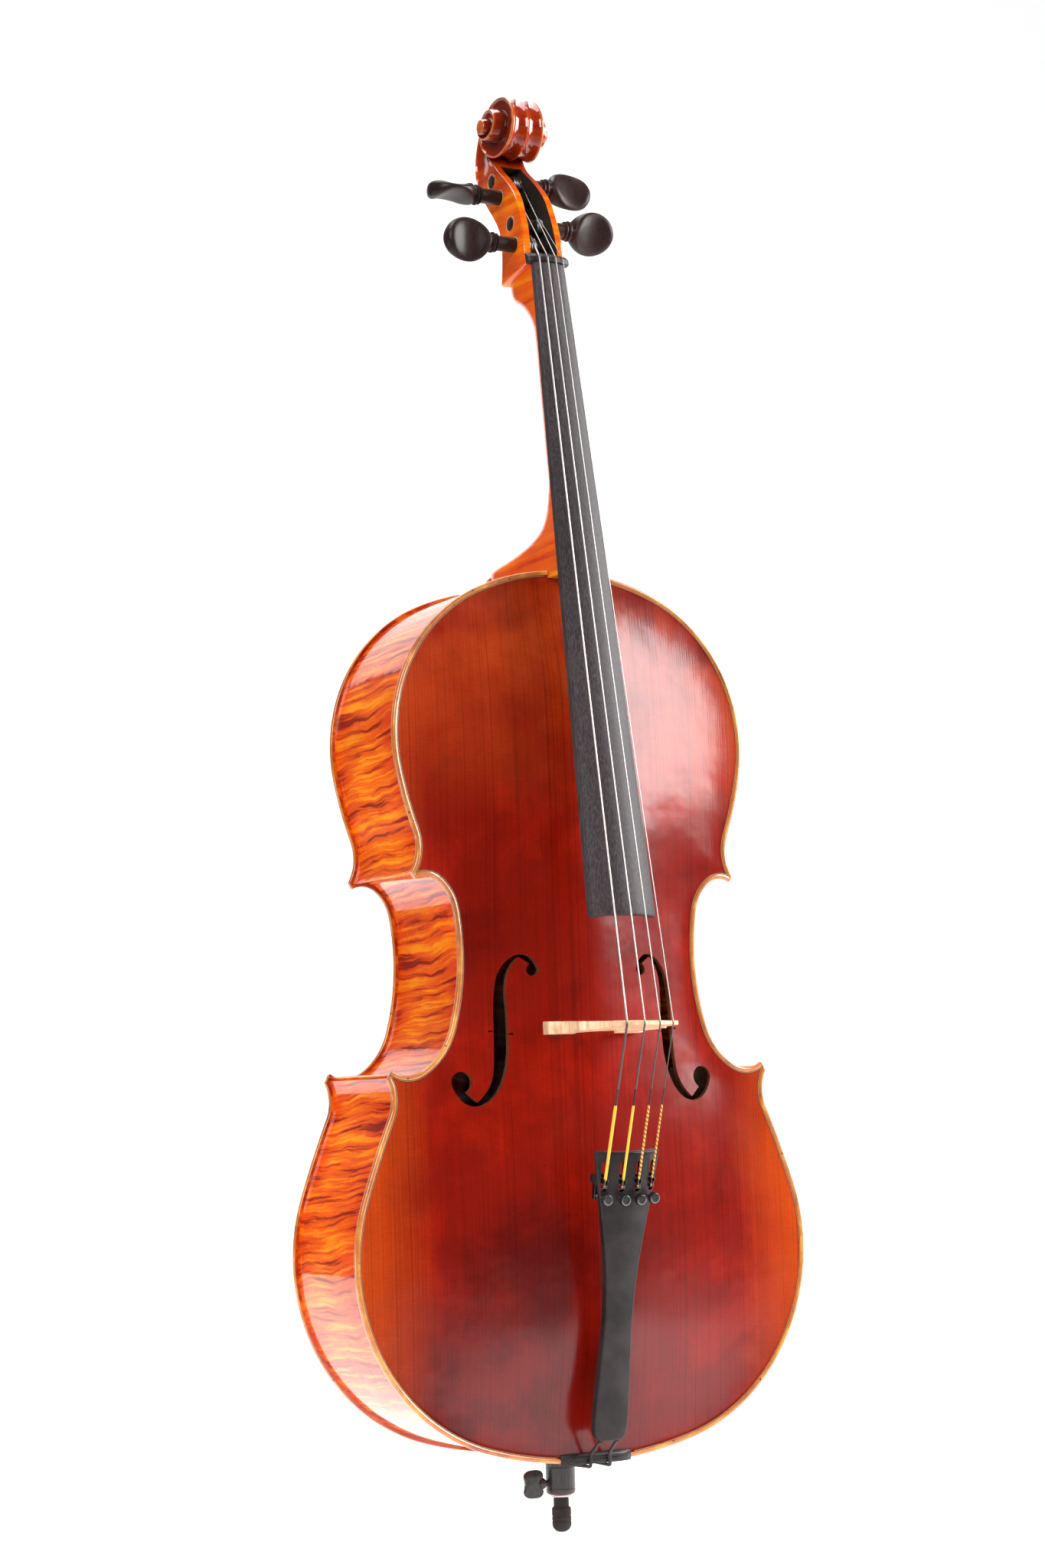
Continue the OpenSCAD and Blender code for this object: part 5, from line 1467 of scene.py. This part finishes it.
def silk_finish(name, main, stripe=None):
    """Silk thread wound on the string, with a second colour as a slow spiral."""
    f = Finish(name, Roughness=0.55, Sheen_Weight=0.3)
    uv = f.place(uv="wrap")
    along, round_ = f.axis(uv, 1), f.axis(uv, 0)
    thread = f.math("FRACT", f.math("ADD", f.math("MULTIPLY", along, 3.2), round_))
    fine = f.math("PINGPONG", thread, 0.5)
    # the lines between the thread's turns are darkened: painted shade in the grooves
    color = f.mix(f.remap(fine, 0.0, 0.5, 0.25, 0.0), main, tuple(0.45 * c for c in main))
    if stripe:
        turn = f.math("FRACT", f.math("ADD", f.math("MULTIPLY", along, 0.28), round_))
        band = f.remap(f.math("PINGPONG", turn, 0.5), 0.19, 0.22)
        color = f.mix(band, stripe, color)
    f.set(Base_Color=color, Normal=f.bump(fine, 0.4, 0.0002))
    return f.mat


def bridge_point(i):
    x = (i - 1.5) * GAP_BRIDGE
    return (x, bridge_crest(x) - STRINGS[i][1] - 0.02, BRIDGE_Z)


def tail_point(i):
    x = tuner_x(i)
    return tail_place(x, tail_arch(x) - 1, PIVOT_V - 4.9)


def eased(points, reach, n=6):
    """A path whose inner corners are rounded over the given reach."""
    p = [np.array(q, float) for q in points]
    out = [p[0]]
    for i in range(1, len(p) - 1):
        a = p[i] + (p[i - 1] - p[i]) / np.linalg.norm(p[i - 1] - p[i]) * reach
        b = p[i] + (p[i + 1] - p[i]) / np.linalg.norm(p[i + 1] - p[i]) * reach
        for k in range(n + 1):
            t = k / n
            out.append((1 - t) ** 2 * a + 2 * t * (1 - t) * p[i] + t * t * b)
    return out + [p[-1]]


def wrapped_tube(name, path, radii, mats, n=14):
    """A tube with its own map: once round across, millimetres along."""
    rings = tube_rings(path, radii, n)
    verts = [q for r in rings for q in r]
    faces = grid_faces(len(rings), n)
    far = np.concatenate([[0], np.cumsum(np.linalg.norm(np.diff(np.array(path), axis=0), axis=1))])
    faces.append(tuple(range(n))[::-1])
    faces.append(tuple((len(rings) - 1) * n + k for k in range(n)))
    obj = mesh_piece(name, verts, faces, mats)
    uv = obj.data.uv_layers.new(name="wrap")
    data = []
    for r in range(len(rings) - 1):
        for c in range(n):
            data += [c / n, far[r], (c + 1) / n, far[r], (c + 1) / n, far[r + 1], c / n, far[r + 1]]
    for r in (0, len(rings) - 1):
        data += [0.5, far[r]] * n
    uv.data.foreach_set("uv", data)
    return settle(obj, sharp=50)


# The ball end, as (along, radius)
BALL_PROFILE = [(-2.0, 0.9), (-1.9, 1.5), (-1.4, 1.95), (-0.9, 1.95), (-0.5, 1.65), (0.5, 1.65),
                (0.9, 1.95), (1.4, 1.95), (1.9, 1.5), (2.0, 0.9)]
# Where the dark wrap and the coloured silk begin and end, as shares of bridge to tuner
WRAP_FROM, SILK_FROM, SILK_TO = 0.40, 0.50, 0.965
WRAP_POINTS, SILK_POINTS = 20, 60
GOLD_SILK = silk_finish("silk_gold", (0.90, 0.47, 0.01))
STRIPED_SILK = silk_finish("silk_gold_brown", (0.86, 0.45, 0.03), (0.20, 0.03, 0.008))
for i, (letter, r) in enumerate(STRINGS):
    start, low, mid, end = leave_point(i)[0], nut_point(i), bridge_point(i), tail_point(i)
    line = eased([start, low, mid, end], 1.6)
    split = len(line) - 4
    speaking = loft("string_%s_speaking" % letter, tube_rings(line[:split + 1], r, 14), [STEEL],
                    sharp=60)
    a, b = line[split], np.array(end)
    tail_path = [a, line[split + 1], line[split + 2], b]
    after = loft("string_%s_tail" % letter, tube_rings(tail_path, r, 14), [DARK_STEEL], sharp=60)
    piece(speaking, "root", "string_steel", "string_" + letter)
    piece(after, "root", "string_steel")
    piece(loft("string_ball_" + letter, lathe(BALL_PROFILE, 28, end, "x"), [BALL], sharp=50),
          "root", "string_steel")
    m, e = np.array(mid), np.array(end)
    dark = [m + (e - m) * t for t in np.linspace(WRAP_FROM, SILK_FROM, WRAP_POINTS)]
    radii = [r + 0.12] * WRAP_POINTS
    radii[0] = r
    piece(wrapped_tube("string_wrap_" + letter, dark, radii, [WRAP_DARK]), "root", "silk")
    silk = [m + (e - m) * t for t in np.linspace(SILK_FROM, SILK_TO, SILK_POINTS)]
    radii = [r + 0.35] * SILK_POINTS
    radii[0] = radii[-1] = r + 0.05
    radii[1] = radii[-2] = r + 0.28
    mat = GOLD_SILK if i < 2 else STRIPED_SILK
    # one CAD node holds all four silks, so the first of them stands for it
    piece(wrapped_tube("silk_" + letter, silk, radii, [mat]), "root", "silk",
          *(["tail_silks"] if i == 0 else []))


# ---------------------------------------------------------------- tailpiece and fine tuners
# Half width along the tailpiece; its rounded edge, and where its underside becomes hollow
TAIL_HALF = [(0, 9.5), (1.2, 11.6), (3.5, 13.6), (8, 15.1), (20, 15.8), (45, 15), (80, 13.6),
             (110, 13.2), (150, 16), (190, 22.5), (225, 28.5), (TAIL_LEN, 31)]
TAIL_EDGE, TAIL_HOLLOW, TAIL_HOLLOW_RUN, TAIL_WALL = 2.0, 150, 16.0, 5.2
TAIL_BLACK = moulded("tailpiece_black", (0.012, 0.0085, 0.009), 0.34, 900, 0.1)
SLOT_BLACK = moulded("tuner_slot_black", (0.008, 0.0075, 0.0075), 0.6)
TUNER_BLACK = moulded("tuner_black", (0.014, 0.013, 0.013), 0.3, 1200, 0.08)
TUNER_STEEL = metal("tuner_steel_black", (0.07, 0.066, 0.066), 0.3)
RIM_STEEL = metal("tuner_knob_rim", (0.16, 0.15, 0.15), 0.25)


def tail_half_at(v):
    line = smooth_line(TAIL_HALF, 12)
    return float(np.interp(v, line[:, 0], line[:, 1]))


def tail_section(v, grow=0.0):
    """The tailpiece's section at v, drawn in by grow near its two ends."""
    w = tail_half_at(v) - grow
    edge = TAIL_EDGE
    top = [(x, tail_arch(x) + grow) for x in np.linspace(-(w - edge), w - edge, 31)]
    y_edge = tail_arch(w - edge) + grow
    right = [(w - edge + edge * math.sin(a), y_edge + edge * (1 - math.cos(a)))
             for a in np.linspace(0.12, math.pi / 2, 6)]
    deep = max(y_edge + edge + 0.9, 1.6)
    k = share(v, TAIL_HOLLOW, TAIL_HOLLOW_RUN)
    right += [(w, deep - 0.5), (w - 0.15, deep - 0.15), (w - 0.5, deep)]
    flat = deep - 0.3
    under = [(x, (1 - k) * flat + k * min(flat, tail_arch(x) + TAIL_WALL))
             for x in np.linspace(w - 2.4, -(w - 2.4), 31)]
    left = [(-x, y) for x, y in right[::-1]]
    ring = top + right + under + left
    return [tail_place(x, y, v) for x, y in ring]


def slot_cutter(i):
    """The round-ended slot that string i's tuner lever stands in."""
    x, r = tuner_x(i), SLOT_HALF
    pts = [(x + r * math.cos(w), middle + r * math.sin(w))
           for start, middle in ((0, SLOT_HIGH - r), (math.pi, SLOT_LOW + r))
           for w in np.linspace(start, start + math.pi, 10)]
    verts = [tail_place(a, y, v) for y in (-20, 14) for a, v in pts]
    return settle(mesh_piece("cut_slot", verts, prism_faces(len(pts)), [SLOT_BLACK]), sharp=40)


stations = [0, 0.25, 0.7, 1.4, 2.4] + list(np.linspace(5, TAIL_LEN - 4, 66)) \
    + [TAIL_LEN - 2.2, TAIL_LEN - 1.2, TAIL_LEN - 0.6, TAIL_LEN - 0.2, TAIL_LEN]
ease_in = {0: 1.6, 0.25: 1.0, 0.7: 0.5, 1.4: 0.15, TAIL_LEN - 1.2: 0.12, TAIL_LEN - 0.6: 0.35,
           TAIL_LEN - 0.2: 0.8, TAIL_LEN: 1.4}
tail = loft("tailpiece_moulded", [tail_section(v, ease_in.get(v, 0.0)) for v in stations],
            [TAIL_BLACK], sharp=46)
settle(cut_away(tail, [slot_cutter(i) for i in range(4)]), sharp=44)
piece(tail, "root", "tail_black", "tailpiece")


# The knob's and its rim's profiles, out from the screw's head, and the milled ribs' least radius
RIBBED_FROM = 4.2
KNOB_PROFILE = [(0.0, 1.6), (0.0, 3.2), (0.1, 4.05), (0.5, 4.15), (0.62, 4.7), (0.9, 4.95),
                (3.9, 4.95), (4.2, 4.7), (4.3, 4.1), (4.75, 3.8), (4.95, 3.3), (5.0, 2.7),
                (4.72, 2.4), (4.66, 1.2), (4.66, 0.2)]
KNOB_RIM = [(4.15, 4.05), (4.45, 4.3), (4.7, 4.2), (4.98, 3.6), (5.0, 3.35), (4.7, 3.3)]
SCREW_CORE, SCREW_CREST, SCREW_PITCH = 1.18, 1.46, 0.5


def turned(name, profile, at, mats, n=48, ribs=0, depth=0.0, closed=False):
    """A turned form along the tailpiece's outward normal; ribs cut radii over RIBBED_FROM."""
    rings = []
    for out, r in profile:
        ring = []
        for k in range(n):
            w = 2 * math.pi * k / n
            rr = r - (depth if ribs and r > RIBBED_FROM and (k * ribs * 2 // n) % 2 else 0.0)
            ring.append(tail_place(at[0] + rr * math.cos(w), at[1] - out, at[2] + rr * math.sin(w)))
        rings.append(ring)
    if closed:
        rings.append(rings[0])
    return loft(name, rings, mats, cap=not closed, sharp=34, merge=0.004)


def lever_outline(i):
    """The bent lever seen from the side, as (depth, distance up from its pin)."""
    y0 = tail_arch(tuner_x(i)) + PIVOT_DEPTH
    top = tail_arch(tuner_x(i)) - 4.0
    return [(y0 + 3, -17.5), (y0 + 3.2, -2.0), (y0 + 2.4, 1.8), (y0, 3.1), (y0 - 2.4, 2.6),
            (y0 - 6.0, 1.9), (top + 2, 1.7), (top + 0.5, 1.5), (top, 0.7), (top, -0.7),
            (top + 0.5, -1.5), (top + 2, -1.8), (y0 - 5.0, -2.2), (y0 - 2.6, -3.2),
            (y0 - 1.2, -4.6), (y0 - 1.0, -7.0), (y0 - 1.0, -17.0), (y0 - 0.6, -17.5)]


for i, (letter, r) in enumerate(STRINGS):
    x = tuner_x(i)
    y0 = tail_arch(x) + PIVOT_DEPTH

    def in_tail(a, b, c):
        return tail_place(x + c, a, PIVOT_V + b)
    lever = slab("lever_%s_forged" % letter, [lever_outline(i)], 2.0, 0.35, in_tail, [TUNER_STEEL])
    notch_y = tail_arch(x) - 5.4
    verts = [tail_place(x + s * 1.2, y, PIVOT_V + v) for s in (-1, 1)
             for y, v in ((notch_y, -5), (notch_y, 5), (notch_y + 4.6, 5), (notch_y + 4.6, -5))]
    notch = settle(mesh_piece("cut_notch", verts, prism_faces(4), [TUNER_STEEL]), sharp=30)
    settle(cut_away(lever, [notch]), sharp=38)
    piece(lever, "lever_" + letter, "tuner_steel", "tuner_lever_" + letter)

    # the screw: a rounded point on the lever, its thread, then a plain shank in the knob
    low = y0 - 1.3
    length = low - (tail_arch(x) - 8.5)
    thread = [(0.0, 0.3), (0.0, 0.9)]
    out = 0.3
    while out < length - 6.5:
        thread += [(out, SCREW_CORE), (out + SCREW_PITCH / 2, SCREW_CREST)]
        out += SCREW_PITCH
    thread += [(out, 1.2), (out + 0.2, SCREW_CREST), (length, SCREW_CREST), (length, 0.3)]
    screw = turned("tuner_screw_%s_cut" % letter, thread, (x, low, KNOB_V), [TUNER_STEEL], 24)
    piece(screw, "screw_" + letter, "tuner_steel", "tuner_screw_" + letter)

    base = tail_arch(x) - 4.5
    knob = turned("tuner_knob_%s_milled" % letter, KNOB_PROFILE, (x, base, KNOB_V),
                  [TUNER_BLACK], 120, ribs=30, depth=0.34)
    piece(knob, "knob_" + letter, "tuner_black", "tuner_knob_" + letter)
    rim = turned("tuner_knob_rim_%s" % letter, KNOB_RIM, (x, base, KNOB_V), [RIM_STEEL],
                 closed=True)
    piece(rim, "knob_" + letter, "tuner_black")
    # lugs under the tailpiece hold the lever's pin
    for side in (-1, 1):
        def lug_place(a, b, c, side=side):
            return tail_place(x + side * 3.7 + c, a, PIVOT_V + b)
        lug_top = tail_arch(x) + 3.6
        pts = [(lug_top, -4), (y0 + 1.2, -4), (y0 + 3.2, -2.4), (y0 + 3.8, 0), (y0 + 3.2, 2.4),
               (y0 + 1.2, 4), (lug_top, 4)]
        lug = slab("lever_lug_%s_%d" % (letter, side), [pts], 1.15, 0.3, lug_place, [TAIL_BLACK])
        piece(lug, "root", "tail_black")


# ---------------------------------------------------------------- tailgut and saddle
GUT = moulded("tailgut_black", (0.02, 0.017, 0.017), 0.32, 2200, 0.2)
SADDLE_Y = -66.2
GUT_R, COLLAR_R = 1.5, 12.8


def rounded_path(points, step=0.8, passes=7):
    """The path at even steps, its corners eased by averaging neighbours."""
    p = np.array(points, float)
    s = np.concatenate([[0], np.cumsum(np.linalg.norm(np.diff(p, axis=0), axis=1))])
    t = np.linspace(0, s[-1], int(s[-1] / step))
    q = np.column_stack([np.interp(t, s, p[:, k]) for k in range(3)])
    for _ in range(passes):
        q[1:-1] = 0.25 * q[:-2] + 0.5 * q[1:-1] + 0.25 * q[2:]
    return q


def gut_side(s):
    """One side of the gut: from the tailpiece, over the saddle, down beside the collar."""
    y = SADDLE_Y - GUT_R - 0.25
    r = COLLAR_R + GUT_R + 0.1
    return [tail_place(s * 8, -3.4, 20), tail_place(s * 8, -3.4, 0), (s * 9, y, SADDLE_H - 0.6),
            (s * 9.5, y, -2.1), (s * r, -4, -2.3), (s * r, 0, -2.3)]


back_half = [((COLLAR_R + 1.6) * math.cos(w), (COLLAR_R + 1.6) * math.sin(w), -2.3)
             for w in np.linspace(0, math.pi, 24)][1:-1]
route = rounded_path(gut_side(1) + back_half + gut_side(-1)[::-1])
piece(loft("tailgut_cord", tube_rings(route, GUT_R, 16), [GUT], sharp=60), "root", "gut", "tailgut")
for s in (-1, 1):
    rim = [(0.9, 1.55), (0.9, 2.3), (-0.5, 2.5), (-1.2, 2.4), (-1.5, 2.05), (-1.5, 1.55)]
    rings = [[tail_place(s * 8 + r * math.cos(w), -3.4 + r * math.sin(w), v)
              for w in np.linspace(0, 2 * math.pi, 32, endpoint=False)] for v, r in rim + rim[:1]]
    collar_ring = loft("tailgut_nut_%d" % s, rings, [TAIL_BLACK], cap=False, sharp=40, merge=0.004)
    piece(collar_ring, "root", "tail_black")

SADDLE_BLACK = black_wood("saddle_ebony", (0.010, 0.009, 0.009), (0.035, 0.03, 0.03), 0.28,
                          (30, 900, 900))


def saddle_ring(z, back_off):
    y0 = -RIB_HALF
    front = SADDLE_Y + back_off
    side = -61.2 + 0.5 * back_off
    right = [(33.9 - 0.25 * back_off, y0), (33.9 - 0.25 * back_off, side)]
    line = smooth_line([(33.9 - 0.25 * back_off, side), (28.6, side - 0.55 * (side - front)),
                        (22, front + 0.4), (12, front), (0, front)], 6)
    half = right + [tuple(p) for p in line[1:]]
    return [(x, y, z) for x, y in half + [(-x, y) for x, y in half[::-1] if abs(x) > 1e-6]]


# The saddle's sections, as (height, how far the front face stands back)
levels = [(0.0, 0.5), (0.35, 0.1), (0.8, 0.0), (5.6, 0.0), (6.6, 0.2), (7.5, 0.7), (8.2, 1.4),
          (8.7, 2.4), (8.95, 3.6)]
saddle = loft("saddle_shaped", [saddle_ring(z, off) for z, off in levels], [SADDLE_BLACK], sharp=42)
piece(saddle, "root", "ebony", "saddle")


# ---------------------------------------------------------------- the back's button
def button():
    arc = [(15 * math.cos(w), 757 + 14.4 * math.sin(w)) for w in np.linspace(0, math.pi, 33)]
    outline = [(15.6, 748)] + arc + [(-15.6, 748)]

    def place(a, b, c):
        return (a, RIB_HALF + 2.25 + c, b)
    obj = slab("back_button", [outline], 2.2, 0.7, place, [BACK], sharp=30)
    piece(obj, "root", "back_maple")


button()


# ---------------------------------------------------------------- endpin
COLLAR = black_wood("endpin_collar_black", (0.012, 0.011, 0.012), (0.05, 0.048, 0.052), 0.26,
                    (2600, 2600, 60), coat=0.4)
RING_METAL = metal("endpin_ring_nickel", (0.50, 0.48, 0.46), 0.22, (40, 40, 3000))
ROD_STEEL = metal("endpin_rod_steel", (0.55, 0.55, 0.57), 0.22, (40, 40, 2600))
RUBBER = moulded("endpin_rubber", (0.014, 0.013, 0.013), 0.62, 1500, 0.3)
# The bore for the rod, and the height of the clamp screw's axis
BORE, CLAMP_Z = 5.1, -21.0


def pipe(name, outside, mat):
    """A turned tube: its outside profile, then back down the bore."""
    loop = outside + [(outside[-1][0], BORE), (outside[0][0], BORE)]
    return loft(name, lathe(loop + loop[:1], 64), [mat], cap=False, sharp=40, merge=0.004)


collar = pipe("endpin_collar_turned",
              [(-31.0, 10.9), (-30.8, 11.5), (-30.3, 12.0), (-29.4, 12.45), (-28.2, 12.75),
               (-26.6, 12.8), (-26.2, 12.45), (-25.7, 12.45), (-25.3, 12.8), (-13.2, 12.8),
               (-8.4, 12.8), (-8.0, 12.4), (-7.4, 12.4), (-7.0, 12.8), (-4.6, 12.8),
               (3.2, 12.8), (3.4, 12.4), (3.4, 10.6), (30, 10.4), (47.5, 10.1), (48.0, 9.6)],
              COLLAR)
hole = lathe([(-26, 2.75), (0, 2.75)], 24, (0, 0, CLAMP_Z), "x")
cutter = loft("cut_screw_hole", hole, [COLLAR])
settle(cut_away(collar, [cutter]), sharp=40)
piece(collar, "root", "collar", "endpin_collar")
piece(pipe("endpin_ring_turned", [(-33.5, 8.0), (-33.35, 8.5), (-32.9, 9.1), (-32.3, 9.35),
                                  (-31.5, 9.4), (-31.1, 9.3), (-31.0, 9.0)], RING_METAL),
      "root", "ring_metal", "endpin_ring")
thread = [(-5.4, 0.6), (-5.5, 1.7)]
out = -6.0
while out > -13.5:
    thread += [(out, 2.1), (out - 0.35, 2.48)]
    out -= 0.7
thread += [(out, 2.1), (out - 0.3, 2.48), (-16.2, 2.48), (-16.6, 4.6), (-18.8, 4.9), (-20.4, 4.2),
           (-21.6, 2.6), (-22.0, 0.8)]
shank = loft("clamp_screw_shank", lathe(thread, 40, (0, 0, CLAMP_Z), "x"), [COLLAR], sharp=40)
wing_line = smooth_line([(-19.6, 0.0), (-18.4, 3.4), (-17.4, 6.6), (-18.4, 9.8), (-21.6, 11.6),
                         (-26.4, 11.9), (-31.2, 11.5), (-34.6, 9.6), (-35.8, 6.6), (-35.0, 3.2),
                         (-34.4, 0.0)], 5)
wing_loop = [tuple(p) for p in wing_line] + [(a, -b) for a, b in wing_line[::-1][1:-1]]


def wing_place(a, b, c):
    slim = 1 - 0.35 * min(1.0, abs(b) / 12.0)
    return (a, c * slim, CLAMP_Z + b)


wing = slab("clamp_screw_wing", [wing_loop], 2.2, 0.9, wing_place, [COLLAR])
piece(shank, "clamp_screw", "collar", "endpin_screw")
piece(wing, "clamp_screw", "collar")
# The rod and its rubber tip, in heights above the floor
rod = [(8.0, 3.6), (8.6, 4.7), (9.4, 5.0), (461.5, 5.0), (462.6, 4.7), (463.0, 4.0)]
piece(loft("endpin_rod_ground", lathe(rod, 48), [ROD_STEEL], sharp=40, raise_z=False), "endpin",
      "rod_steel", "endpin_rod")
tip = [(0.0, 1.6), (0.1, 2.8), (0.5, 4.2), (1.3, 5.6), (2.5, 6.8), (4.0, 7.7), (5.8, 8.2),
       (8.4, 8.2),
       (8.7, 7.85), (9.3, 7.85), (9.6, 8.2), (12.4, 8.2), (12.7, 7.85), (13.3, 7.85), (13.6, 8.2),
       (19.4, 8.2), (20.1, 7.9), (20.6, 7.1), (21.4, 6.6), (27.6, 6.6), (28.3, 6.4), (28.6, 5.9),
       (28.6, 5.05), (9.5, 5.05)]
piece(loft("endpin_tip_moulded", lathe(tip, 56), [RUBBER], sharp=40, raise_z=False), "endpin",
      "tip_rubber", "endpin_tip")


# ---------------------------------------------------------------- finishes of the inner CAD nodes
INNER = raw_wood("inner_spruce_willow", (0.42, 0.27, 0.14), (0.62, 0.45, 0.26), (500, 500, 30))
inner = ("linings", "corner_blocks", "upper_block", "lower_block", "bass_bar", "sound_post")
for name in inner + ("tuner_pins",):
    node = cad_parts[name]
    node.data.materials.clear()
    node.data.materials.append(INNER if name in inner else TUNER_STEEL)


bpy.context.view_layer.update()
